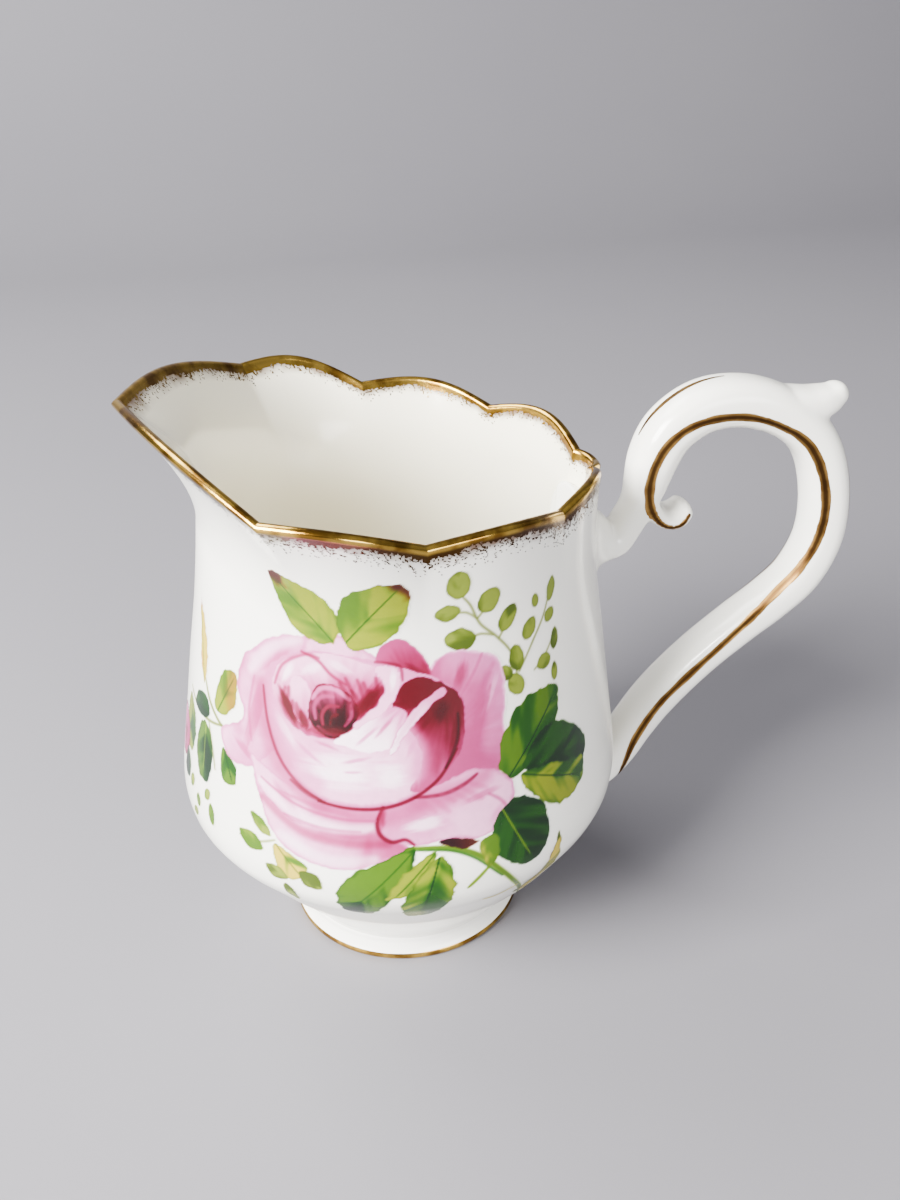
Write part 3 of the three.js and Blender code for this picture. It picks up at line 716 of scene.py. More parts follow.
def build_rim_gilding():
    """Gold over the crown, with a ragged edge and loose flecks outside and inside."""
    angles = rim_columns(26)
    rim_z = rim_at(angles)[:, 2]
    along = np.concatenate([[0], np.cumsum(np.linalg.norm(np.diff(rim_at(angles), axis=0), axis=1))])
    rows = []
    depth = []
    for d in np.linspace(GOLD_OUTSIDE, GOLD_START, 28):
        z = rim_z - d
        rows.append(outer(angles, z) + outer_normal(angles, z) * GOLD_STAND)
        depth.append(np.full_like(angles, d))
    for swing in np.linspace(0.08, 0.92, 13) * math.pi:
        rows.append(crown(angles, swing, GOLD_STAND))
        depth.append(np.zeros_like(angles))
    for d in np.linspace(GOLD_START, GOLD_INSIDE, 18):
        z = rim_z - d
        inward = -np.stack([np.cos(angles), np.sin(angles), np.zeros_like(angles)], -1)
        rows.append(inner(angles, z) + inward * GOLD_STAND)
        depth.append(np.full_like(angles, -d))
    points = np.stack(rows, 1)
    columns, count = points.shape[:2]
    d = np.stack(depth, 1).ravel()
    s = np.repeat(along, count)
    quads = grid_faces(columns, count, True)
    shown = quads[gold_mask(s[quads[:, 0]], d[quads].mean(1))]
    used, compact = np.unique(shown, return_inverse=True)
    obj = mesh_object("rim_gold", points.reshape(-1, 3)[used], compact.reshape(-1, 4))
    shade(obj, 80)
    # Browner on the outside below the crown: partly the gold running thin toward its ragged edge, partly
    # painted shade on the lower side of the bead.
    number_attribute(obj, "thin_gold_and_painted_shade", smoothstep(0.0, 0.7, d[used] - 0.5 * np.minimum(d[used], 0)) * 0.95)
    obj.data.materials.append(RIM_GOLD)
    return place(obj, "gilding", "rim_gilding")


def build_foot_gilding():
    outline = [
        (FOOT_RADIUS - 0.08, 0.35),
        (FOOT_RADIUS + 0.05, 0.75),
        (FOOT_RADIUS + 0.06, 1.1),
        (FOOT_RADIUS - 0.12, 1.45),
        (FOOT_RADIUS - 0.35, 1.35),
        (FOOT_RADIUS - 0.35, 0.5),
    ]
    obj = lathe("foot_gold", outline, 160)
    shade(obj, 60)
    obj.data.materials.append(RIM_GOLD)
    return place(obj, "gilding", "foot_gilding")


def tree_of(obj):
    graph = bpy.context.evaluated_depsgraph_get()
    return BVHTree.FromObject(obj, graph)


def surface_ribbon(name, line, halves, side, tree, steps=9):
    """Ribbon that wraps over the handle's surface along a line of (x, z), seen from one side."""
    hits = []
    for x, z in line:
        start = Vector(((x + AXIS_X) * MM, side * 0.02, z * MM))
        hit, normal, _, _ = tree.ray_cast(start, Vector((0, -side, 0)), 0.02)
        if hit is None:
            start.y = side * 4.2 * MM
            hit, normal, _, _ = tree.find_nearest(start)
        hits.append((hit, normal))
    points = []
    for i, (hit, normal) in enumerate(hits):
        ahead = hits[min(i + 1, len(hits) - 1)][0] - hits[max(i - 1, 0)][0]
        across = normal.cross(ahead).normalized()
        for k in range(steps):
            f = 2 * k / (steps - 1) - 1
            near = hit + across * (f * halves[i] * MM) + normal * 0.0006
            place_on, lean, _, _ = tree.find_nearest(near)
            placed = place_on + lean * LINE_STAND * MM
            points.append((placed.x / MM - AXIS_X, placed.y / MM, placed.z / MM))
    obj = mesh_object(name, points, grid_faces(len(hits), steps, False))
    shade(obj, 80)
    edge = np.tile(np.abs(np.linspace(-1, 1, steps)), len(hits))
    # Painted dark reflection down the middle of the line; the edges keep the brighter gold.
    number_attribute(obj, "thin_gold_and_painted_shade", 0.9 * smoothstep(0.75, 0.25, edge))
    obj.data.materials.append(LINE_GOLD)
    return obj


def build_flank_line(name, side, tree, node):
    line = catmull(FLANK_LINE, 10)
    wobble = value_noise(np.arange(len(line)) * 0.22, np.full(len(line), side * 3.0)) - 0.5
    halves = line[:, 2] * 1.3 + wobble * 0.25
    obj = surface_ribbon(name, line[:, :2], halves, side, tree)
    return place(obj, "gilding", node)


def build_back_stroke(name, first, last, half, y_shift, tree, node):
    """Brushed stroke on the outer face of the strap, between two rows of its centre line."""
    line = catmull(STRAP, 12)
    tangent = np.gradient(line[:, :2], axis=0)
    tangent /= np.linalg.norm(tangent, axis=1, keepdims=True)
    chosen = np.arange(int(first * 12), int(last * 12) + 1)
    rows = []
    for k, i in enumerate(chosen):
        t = k / (len(chosen) - 1)
        x, z, thick, _ = line[i]
        tx, tz = tangent[i]
        wide_here = half * math.sin(math.pi * (0.06 + 0.88 * t)) ** 0.8
        row = [(x - tz * (thick + 1), y_shift + f * wide_here, z + tx * (thick + 1))
               for f in (-1, -0.5, 0, 0.5, 1)]
        rows.append(row)
    points = []
    for row in rows:
        for p in row:
            start = Vector(((p[0] + AXIS_X) * MM, p[1] * MM, p[2] * MM))
            hit, normal, _, _ = tree.find_nearest(start)
            placed = hit + normal * LINE_STAND * MM
            points.append((placed.x / MM - AXIS_X, placed.y / MM, placed.z / MM))
    obj = mesh_object(name, points, grid_faces(len(rows), 5, False))
    shade(obj, 80)
    obj.data.materials.append(LINE_GOLD)
    return place(obj, "gilding", node)


# ---------------------------------------------------------------- painted sprays
# A spray is painted on a fine grid over the body. u runs round the body in mm from the middle
# of the spray, z is the height. Colours are display colours, called by name.

PAINT = {
    "pale": (0.93, 0.75, 0.84),
    "soft": (0.85, 0.59, 0.73),
    "mid": (0.74, 0.39, 0.57),
    "deep": (0.60, 0.16, 0.36),
    "crimson": (0.46, 0.03, 0.19),
    "dark": (0.29, 0.01, 0.10),
    "white": (0.985, 0.92, 0.94),
    "lime": (0.63, 0.66, 0.04),
    "leaf": (0.45, 0.56, 0.07),
    "green": (0.24, 0.44, 0.10),
    "forest": (0.08, 0.31, 0.14),
    "olive": (0.44, 0.50, 0.16),
    "sage": (0.62, 0.66, 0.32),
    "brown": (0.42, 0.22, 0.10),
    "straw": (0.82, 0.76, 0.36),
    "stem": (0.55, 0.58, 0.34),
    "tan": (0.82, 0.62, 0.36),
}


def between(first, second, share):
    """Colours mixed point by point: share 0 gives the first and 1 the second."""
    return np.asarray(first) * (1 - share)[:, None] + np.asarray(second) * share[:, None]


class Canvas:
    """Colours and cover of points (u, z); later shapes are painted over earlier ones."""

    def __init__(self, u, z):
        self.u = u
        self.z = z
        self.colour = np.tile(np.array(CHINA), (len(u), 1))
        self.cover = np.zeros(len(u))

    def blend(self, index, colour, amount):
        self.colour[index] = between(self.colour[index], colour, amount)

    def near(self, outline, margin):
        low = outline.min(0) - margin
        high = outline.max(0) + margin
        inside = (self.u > low[0]) & (self.u < high[0]) & (self.z > low[1]) & (self.z < high[1])
        return np.nonzero(inside)[0]

    def distance(self, index, line, closed):
        """Distance to a line of points, and how far along it the nearest place is."""
        p = np.stack([self.u[index], self.z[index]], -1)
        nearest = np.full(len(index), 1e9)
        place_on = np.zeros(len(index))
        ends = np.roll(line, -1, axis=0) if closed else line[1:]
        starts = line if closed else line[:-1]
        inside = np.zeros(len(index), bool)
        for k, (a, b) in enumerate(zip(starts, ends)):
            ab = b - a
            t = np.clip(((p - a) @ ab) / max(ab @ ab, 1e-9), 0, 1)
            d = np.hypot(*(p - a - t[:, None] * ab).T)
            place_on = np.where(d < nearest, (k + t) / len(starts), place_on)
            nearest = np.minimum(nearest, d)
            if closed:
                crosses = (a[1] > p[:, 1]) != (b[1] > p[:, 1])
                at = a[0] + (p[:, 1] - a[1]) * ab[0] / (ab[1] if abs(ab[1]) > 1e-9 else 1e-9)
                inside ^= crosses & (p[:, 0] < at)
        return nearest, place_on, inside

    def within(self, points, start, end):
        """Places near an outline, their depth inside it, and how they lie from start to end."""
        outline = catmull(points, 8, closed=True)
        index = self.near(outline, 0.6)
        d, _, inside = self.distance(index, outline, True)
        p = np.stack([self.u[index], self.z[index]], -1)
        a = np.array(start, float)
        axis = np.array(end, float) - a
        length = np.linalg.norm(axis)
        t = ((p - a) @ axis) / length**2
        side = (p - a) @ np.array([-axis[1], axis[0]]) / length
        return index, p, np.where(inside, d, -d), length, t, side

    def petal(self, points, inner_colour, outer_colour, start, end, rim=None, rim_width=1.0,
              streak=0.35, seed=1):
        """Filled petal: colour runs from start to end, with brushed streaks along that way."""
        index, p, signed, length, t, side = self.within(points, start, end)
        fan = np.arctan2(side, np.maximum(t, 0.05) * length + 2.0)
        lines = fractal(fan * 9 + seed * 7.3, t * 1.2 + seed, seed, 2) - 0.5
        wash = fractal(p[:, 0] * 0.22, p[:, 1] * 0.22, seed + 3, 2) - 0.5
        signed = signed + (fractal(p[:, 0] * 0.9, p[:, 1] * 0.9, seed + 5, 2) - 0.5) * 0.5
        cover = smoothstep(-0.14, 0.14, signed)
        t = np.clip(t + lines * streak + wash * 0.5, 0, 1)
        t = t * t * (3 - 2 * t)
        colour = between(PAINT[inner_colour], PAINT[outer_colour], t)
        if rim:
            edge = smoothstep(rim_width, 0, signed + lines * 0.5)
            colour = between(colour, PAINT[rim], edge)
        self.blend(index, colour, cover)
        self.cover[index] = np.maximum(self.cover[index], cover)

    def leaf(self, points, base, tip, light, dark, vein=None, seed=1, tip_colour=None):
        """Leaf: two-toned blade with a midrib and side veins from base to tip."""
        index, p, signed, length, t, side = self.within(points, base, tip)
        swept = t * length - np.abs(side) * 1.1
        patch = fractal(swept * 0.34 + seed * 3.7, side * 0.16 + seed, seed, 2) - 0.5
        blotch = fractal(p[:, 0] * 0.5, p[:, 1] * 0.5, seed, 2)
        rough = min(0.8, 0.07 * length)
        signed = signed + (fractal(p[:, 0] * 0.8, p[:, 1] * 0.8, seed + 5, 2) - 0.5) * rough
        cover = smoothstep(-0.13, 0.13, signed)
        ribs = np.sin(swept * 2.8 + 2 * blotch)
        half = 0.22 * np.sign(side) * smoothstep(0, 0.8, np.abs(side))
        tone = smoothstep(0.12, 0.88, 0.48 + half + patch * 1.9 + 0.06 * ribs - 0.25 * t)
        colour = between(PAINT[light], PAINT[dark], tone)
        edge = smoothstep(0.5, 0.0, signed) * 0.3
        colour = between(colour, np.array(PAINT[dark]) * 0.8, edge)
        if tip_colour:
            fade = smoothstep(0.80, 1.0, t + (blotch - 0.5) * 0.25)
            colour = between(colour, PAINT[tip_colour], fade)
        if vein:
            rib = smoothstep(0.22, 0.05, np.abs(side)) * smoothstep(1.0, 0.8, t) * 0.7
            colour = between(colour, PAINT[vein], rib)
        self.blend(index, colour, cover)
        self.cover[index] = np.maximum(self.cover[index], cover)

    def stroke(self, points, width, colour, opacity=1.0, soft=0.25, only_on=False):
        """Brushed line, tapering to both ends; only_on keeps it on what is already painted."""
        line = catmull(points, 8)
        index = self.near(line, width + soft)
        d, along, _ = self.distance(index, line, False)
        size = width / 2 * (0.25 + 0.75 * np.sin(math.pi * np.clip(along, 0.02, 0.98)) ** 0.6)
        amount = smoothstep(size + soft, size * 0.4, d) * opacity
        if only_on:
            amount = amount * (self.cover[index] > 0.5)
        self.blend(index, PAINT[colour], amount)
        if not only_on:
            self.cover[index] = np.maximum(self.cover[index], np.minimum(amount * 1.4, 1))

    def shadow(self, u, z, long_radius, short_radius, turn, colour, opacity, seed):
        """Airbrushed soft patch, streaked along its long way, only where paint already is."""
        c = math.cos(math.radians(turn))
        s = math.sin(math.radians(turn))
        x = self.u - u
        y = self.z - z
        a = (x * c + y * s) / long_radius
        b = (-x * s + y * c) / short_radius
        index = np.nonzero((a * a + b * b < 1.6) & (self.cover > 0.5))[0]
        r = np.sqrt(a[index] ** 2 + b[index] ** 2)
        hair = fractal(b[index] * short_radius * 1.6 + seed * 5.1, a[index] * 1.2, seed) - 0.5
        self.blend(index, PAINT[colour], smoothstep(1.05, 0.25, r + hair * 0.7) * opacity)

    def leaves(self, rows):
        for row in rows:
            self.leaf(*row)

    def strokes(self, rows, **kind):
        """Brushed lines of one kind: the points, width, colour and strength of each."""
        for row in rows:
            self.stroke(*row, **kind)

    def shadows(self, rows):
        """Soft patches: u, z, both radii, turn in degrees, colour, strength and seed of each."""
        for row in rows:
            self.shadow(*row)


def paint_rose(c):
    """Full-blown rose, back petals first, the heart and the front lips last."""
    paint_outer_petals(c)
    paint_cup(c)
    paint_heart(c)
    paint_front_lips(c)
    paint_petal_lines(c)


def paint_outer_petals(c):
    """The spread petals round the cup."""
    c.petal([(-25, 66), (-23, 52), (-18, 43), (0, 44), (14, 50), (15, 64), (4, 71), (-14, 74)], "soft",
            "pale", (-6, 60), (-6, 44), seed=2)
    c.petal([(-27.2, 69.4), (-24.4, 72), (-20, 74.8), (-14.4, 76), (-10, 77), (-8, 70), (-14, 62),
            (-21, 55), (-24.4, 51.4), (-30.2, 51.2), (-32, 55), (-27, 58.6), (-26.6, 60.4),
            (-28.4, 64.4)], "soft", "pale", (-14, 60), (-31, 66), rim="soft", rim_width=0.9, seed=3)
    c.shadows([
        (-24, 61, 7.5, 1.7, 74, "mid", 0.6, 4),
        (-20.4, 70.6, 4.6, 1.3, 46, "mid", 0.5, 204),
        (-11, 74.4, 4.2, 1.1, -6, "mid", 0.45, 205),
        (-26.4, 54, 3.4, 1.0, -30, "mid", 0.5, 5),
    ])
    c.petal([(-14.8, 75.8), (-9.4, 77), (-6.4, 75), (-3.4, 73.4), (-2, 68.4), (-8, 66), (-15, 69)],
            "soft", "pale", (-7, 66), (-9, 77), rim="soft", seed=6)
    c.petal([(4.8, 71), (7, 73), (12, 72.8), (16.2, 70.2), (17.2, 65.8), (16.6, 60.4), (16.4, 55),
            (15.2, 51.6), (10.4, 51.2), (4.2, 48.6), (3, 60), (4.6, 66)], "mid", "soft", (7, 60),
            (17, 66), rim="pale", rim_width=0.6, seed=7)
    c.shadows([
        (12.2, 60.4, 8.5, 1.5, 76, "mid", 0.55, 8),
        (14.6, 65, 5, 1.0, 66, "pale", 0.6, 9),
        (9.8, 69.4, 3.2, 1.2, 74, "deep", 0.5, 10),
    ])
    c.petal([(-3.4, 72.8), (-2.4, 75.6), (0.6, 76.4), (4.8, 71.4), (5.2, 68.6), (1.6, 66.6),
            (-2.4, 69.2)], "deep", "mid", (2.5, 68), (0, 75), rim="mid", rim_width=0.5, seed=11)
    c.shadow(2.6, 70.6, 2.8, 1.3, -40, "crimson", 0.55, 12)
    c.petal([(-23.8, 52.4), (-17, 50.6), (-10.6, 49.8), (-3.4, 49.8), (-2.4, 44.4), (1.2, 41.4),
            (-3.4, 38.9), (-9.4, 37.3), (-15.6, 38.3), (-19.8, 41.2), (-22.4, 46)], "mid", "pale",
            (-5, 50), (-15, 38), rim="soft", rim_width=0.7, seed=13)
    c.petal([(-24.6, 53.6), (-18, 51), (-10, 49.4), (-4, 49.2), (-4, 45), (-10.6, 44), (-17.6, 45),
            (-22.4, 48.2)], "soft", "pale", (-9, 49), (-13, 44), rim="soft", rim_width=0.5, seed=14)
    c.shadows([
        (-7, 43.6, 6.5, 0.9, 0, "mid", 0.65, 15),
        (-12, 48, 8, 0.9, -8, "mid", 0.6, 207),
        (-18, 48.4, 4, 1.2, -50, "mid", 0.45, 208),
        (-16, 40.6, 4, 1.4, -24, "white", 0.4, 16),
    ])
    c.petal([(-3.4, 49.8), (4.8, 51.6), (11.2, 53.4), (17, 50.2), (17.6, 47), (15.3, 42.9), (12.1, 41.1),
            (7.2, 42.2), (1.3, 41.8), (-2.8, 44.4), (-3.4, 46.6)], "soft", "pale", (2, 50), (10, 42.6),
            rim="soft", rim_width=0.7, seed=17)
    c.shadows([
        (3.6, 45.4, 3.6, 1.6, 10, "white", 0.8, 18),
        (12.4, 48.6, 4.0, 1.0, 14, "mid", 0.55, 19),
        (14.6, 44.6, 2.4, 1.2, 50, "soft", 0.6, 20),
    ])


def paint_cup(c):
    """The round front of the flower with its deep throat on the right."""
    c.petal([(-22.4, 66.4), (-21.4, 60.4), (-19, 54.8), (-15, 51), (-10.6, 49.2), (-4.5, 48.8),
            (1.4, 50.2), (5.8, 53.4), (8.8, 58.6), (9.6, 64.6), (7, 68.6), (2, 71), (-3, 72.6),
            (-8, 73.4), (-14, 73.6), (-19.2, 71.6), (-21.6, 69.4)], "pale", "soft", (-6, 54), (-12, 71),
            rim="soft", rim_width=0.8, seed=23)
    c.shadows([
        (-8.4, 54.8, 8, 4.2, 0, "white", 0.95, 24),
        (-18.6, 56.6, 6, 2.2, -56, "mid", 0.4, 206),
        (-1.4, 54, 3.2, 3.4, 0, "white", 0.9, 31),
        (-19.6, 58.6, 6.2, 1.5, -64, "soft", 0.75, 32),
    ])
    c.petal([(2.6, 70), (6.2, 68.8), (9.2, 66.4), (10.2, 62.4), (9.4, 57.6), (6.8, 53.8), (3.2, 51.2),
            (1.4, 51.4), (2.8, 54.4), (3.2, 57.8), (1.8, 61), (-1, 63.6), (-0.6, 67.4)], "crimson", "mid",
            (6.8, 64.5), (2.8, 52.6), streak=0.35, seed=25)
    c.shadows([
        (2.4, 55.6, 4.4, 1.4, 82, "pale", 0.75, 127),
        (8.6, 60.4, 5.6, 0.9, 80, "crimson", 0.75, 26),
        (6.4, 64.2, 2.6, 1.5, 66, "dark", 0.4, 27),
        (2.4, 67.6, 3.0, 2.0, 10, "crimson", 0.6, 128),
    ])
    c.stroke([(-1.2, 64.4), (1.6, 61.2), (3, 57.8), (2.6, 54)], 1.0, "soft", 0.75, soft=1.7, only_on=True)
    c.petal([(-20.8, 66.2), (-19.8, 70), (-15, 73), (-8.6, 73.2), (-4, 72), (-1.4, 71.4), (-1.6, 67.6),
            (-4, 64.4), (-8, 61), (-14, 59.8), (-18.4, 62.2)], "mid", "pale", (-9.6, 62.4), (-13, 71.8),
            streak=0.55, seed=28)
    c.shadows([
        (-17.6, 63.6, 4.2, 1.3, -56, "crimson", 0.95, 29),
        (-4.4, 66.6, 4.4, 1.7, 54, "crimson", 0.95, 30),
        (-11.4, 60.6, 3.6, 1.0, -8, "deep", 0.8, 129),
    ])


def paint_heart(c):
    """Standing petals and the dark coil in the middle of the flower."""
    c.petal([(-17.8, 66.8), (-16.6, 69.2), (-14.4, 68.4), (-13.8, 64.8), (-14.2, 60.8), (-15.4, 61.4),
            (-16.8, 63.6)], "mid", "pale", (-14.6, 61), (-16.4, 68), rim="soft", rim_width=0.3, seed=33)
    c.shadows([
        (-18, 69.4, 2.8, 0.8, 60, "white", 0.75, 34),
        (-13.6, 70.8, 3.0, 0.9, 24, "white", 0.6, 35),
        (-9, 71.4, 2.6, 0.8, -24, "white", 0.55, 36),
    ])
    c.petal([(-14, 66), (-12.6, 68.2), (-9.8, 68.4), (-7.2, 66.8), (-6.2, 64.2), (-7.2, 61.8), (-9.4, 60),
            (-12.4, 60.6), (-14.2, 62.8)], "dark", "mid", (-9.6, 61.6), (-11.8, 68.6), rim="crimson",
            rim_width=0.4, streak=0.6, seed=39)
    c.shadows([
        (-5.4, 65.6, 3.4, 1.5, 48, "crimson", 0.85, 209),
        (-15, 62.4, 2.6, 0.9, -62, "crimson", 0.75, 210),
    ])
    coil = [
        ([(-13.6, 66), (-12.2, 67.8), (-9.8, 67.9), (-7.6, 66.4)], 0.7, "soft", 0.75),
        ([(-13, 62.8), (-13.2, 65), (-12, 66.5), (-10.2, 66.7)], 0.55, "mid", 0.8),
        ([(-11.8, 62), (-11.9, 63.8), (-10.9, 65.1), (-9.3, 65.2)], 0.45, "deep", 0.9),
        ([(-7.4, 65.6), (-7.3, 63.8), (-8.3, 62.2)], 0.5, "mid", 0.7),
        ([(-12.6, 61.6), (-11, 60.7), (-9, 60.7)], 0.45, "mid", 0.6),
        ([(-10.6, 62.2), (-10.3, 63.5), (-9.4, 63.9)], 0.35, "crimson", 0.8),
    ]
    for line, width, tone, opacity in coil:
        c.stroke(line, width, tone, opacity, soft=0.3, only_on=True)
    c.shadows([
        (-9.8, 61.2, 3.6, 1.1, -4, "crimson", 0.8, 211),
        (-9.2, 62.8, 1.8, 1.2, 10, "dark", 0.7, 212),
    ])
    for k in range(8):
        stray = math.sin(k * 2.3)
        start = (-7.4 + 0.6 * k, 65 + 0.3 * stray)
        middle = (-7.9 + 0.78 * k, 67 + 0.5 * stray)
        end = (-9.2 + 0.95 * k, 69 + 1.1 * stray)
        c.stroke([start, middle, end], 0.35, "crimson", 0.4, soft=0.45, only_on=True)
    for k in range(5):
        stray = math.sin(k * 2.7)
        start = (-15.2 - 0.9 * k, 61.2 + 1.1 * k)
        end = (-15.6 - 0.7 * k, 63.4 + 1.0 * k + 0.6 * stray)
        c.stroke([start, end], 0.35, "crimson", 0.4, soft=0.45, only_on=True)


def paint_front_lips(c):
    """Rolled petals across the front of the heart, and the pale ball of the cup."""
    c.petal([(-6, 62.6), (-3.4, 64.6), (-0.6, 65.4), (1.2, 64.2), (0.2, 61.6), (-1.6, 58.8), (-4.8, 58),
            (-8, 58.8), (-10, 59.4)], "soft", "white", (0.4, 65), (-4.6, 59), streak=0.5, seed=42)
    c.petal([(-3.8, 71.4), (-1.9, 72.2), (-0.1, 71.4), (0.3, 69.4), (-0.4, 66.8), (-2, 64.8),
            (-4.4, 63.2), (-6.6, 61.8), (-7, 62.4), (-5, 64.2), (-3, 66.2), (-2.2, 68.8)], "pale", "pale",
            (-1.6, 71), (-6, 62.6), rim="soft", rim_width=0.25, seed=43)
    c.shadow(-0.9, 69.6, 2.2, 0.6, 84, "white", 0.8, 54)
    c.petal([(6.8, 67.9), (7.4, 67), (5, 65.2), (2.8, 63), (0.6, 60.4), (-0.8, 58), (-1.6, 57.6),
            (-0.8, 60.6), (1.2, 63.6), (4, 66.3)], "white", "soft", (-1, 58), (8, 68), rim="soft",
            rim_width=0.25, seed=47)
    c.shadows([
        (-2.2, 62.2, 2.6, 0.45, 50, "mid", 0.6, 48),
        (-4.8, 60.8, 2.6, 0.45, 44, "soft", 0.8, 49),
        (-18.2, 60, 4, 0.8, -52, "white", 0.7, 50),
        (-14.4, 57.2, 4, 0.5, -36, "soft", 0.8, 44),
        (-11, 58.6, 2.6, 0.5, -16, "mid", 0.5, 45),
        (-6.6, 56.6, 2.8, 0.5, 18, "soft", 0.8, 46),
        (-7, 54.6, 2, 0.3, 4, "soft", 0.7, 51),
        (1.8, 58.6, 2.6, 0.5, 66, "soft", 0.6, 52),
        (-14, 52.4, 4, 1.0, -24, "pale", 0.7, 53),
    ])


def paint_petal_lines(c):
    """Broad soft shading and fine dark lines that part the petals."""
    c.strokes([
        ([(-23.4, 66), (-22, 60.2), (-19.6, 54.4), (-15.6, 50.4), (-12, 48.4)], 1.2, "mid", 0.5),
        ([(-12.4, 47.6), (-8, 46.8), (-2.8, 46.8), (2.6, 48.4)], 1.2, "mid", 0.5),
        ([(2.2, 49.4), (6.4, 49.4), (9.6, 50.4), (13, 51.8)], 1.0, "mid", 0.5),
        ([(10.4, 55.6), (11.8, 61), (11.6, 66.4)], 1.6, "mid", 0.5),
    ], soft=2.2, only_on=True)
    c.stroke([(-22.4, 49.6), (-16, 46), (-9, 44.8), (-4.4, 45.2)], 0.9, "white", 0.6, soft=1.2,
             only_on=True)
    c.stroke([(-22, 47), (-15.4, 43.2), (-8, 42.2), (-2, 42.4)], 0.7, "deep", 0.4, soft=1.1, only_on=True)
    c.stroke([(-18.6, 41.4), (-11, 38.8), (-4, 39.6)], 1.1, "white", 0.55, soft=1.2, only_on=True)
    c.stroke([(-27, 69), (-30, 62), (-27.6, 57)], 1.0, "mid", 0.3, soft=2.2, only_on=True)
    c.stroke([(-16, 75), (-21.6, 72.4), (-25.4, 68)], 0.8, "white", 0.5, soft=1.2, only_on=True)
    c.stroke([(-20.4, 62.4), (-17.4, 56), (-12.6, 51.8)], 1.0, "soft", 0.5, soft=2.2, only_on=True)
    c.strokes([
        ([(-22.6, 66), (-21.4, 60.2), (-19, 54.8), (-15.6, 51.2), (-12, 49.2)], 0.4, "crimson", 0.55),
        ([(-17, 51.6), (-14, 49.8), (-11.4, 49)], 0.5, "crimson", 0.5),
        ([(-12.4, 49), (-8, 48.4), (-2.8, 48.6), (1.6, 50), (5.6, 52.8), (8.6, 57.4)], 0.45, "crimson",
         0.8),
        ([(6.8, 54.6), (8.8, 59), (9, 63.2)], 0.35, "dark", 0.55),
        ([(-2.6, 48.8), (-3.5, 46), (-3, 43.9), (-1.4, 42.7), (0.6, 43), (1.8, 42)], 0.55, "crimson", 0.75),
    ], soft=0.32, only_on=True)
    c.shadow(-2.8, 47, 2.6, 0.8, 82, "deep", 0.7, 55)
    c.strokes([
        ([(2.2, 50.2), (6.4, 50.2), (9.6, 51.2), (11.6, 52.4)], 0.6, "crimson", 0.6),
        ([(-20.4, 67), (-19, 70.4), (-14.6, 72.9), (-12.6, 72.6)], 0.3, "deep", 0.55),
        ([(-15.6, 73.2), (-12.8, 72.2), (-10.6, 70.2), (-8.2, 68.8)], 0.35, "deep", 0.65),
        ([(-3.6, 72.6), (-2, 72.4), (0.2, 71.8), (0.6, 69.6)], 0.3, "crimson", 0.45),
        ([(-22.4, 50.4), (-16, 47.6), (-9, 46.4), (-3.8, 46.4)], 0.3, "mid", 0.6),
        ([(-18, 45.4), (-12, 44.4), (-6, 44.4)], 0.3, "mid", 0.45),
        ([(13.4, 48.4), (15.2, 46.8), (16.6, 44.6)], 0.35, "mid", 0.6),
        ([(11, 55), (12.6, 60), (14.6, 66.4)], 0.35, "mid", 0.5),
        ([(9.6, 66), (12, 69.4), (13.4, 72)], 0.35, "mid", 0.45),
        ([(-24.6, 56), (-25.4, 61), (-24.6, 67)], 0.35, "mid", 0.45),
    ], soft=0.32, only_on=True)
    for k in range(6):
        stray = math.sin(k * 2.1)
        start = (3 + 1.5 * k, 49.6 + 0.3 * k)
        end = (5 + 1.7 * k + 0.5 * stray, 47.4 + 0.3 * k - 0.8 * stray)
        c.stroke([start, end], 0.4, "mid", 0.28, soft=0.6, only_on=True)
    for k in range(6):
        stray = math.sin(k * 1.9)
        start = (9.8 + 0.5 * k, 55 + 2.2 * k)
        end = (12.2 + 0.6 * k, 57.8 + 2.4 * k + stray)
        c.stroke([start, end], 0.4, "mid", 0.3, soft=0.6, only_on=True)


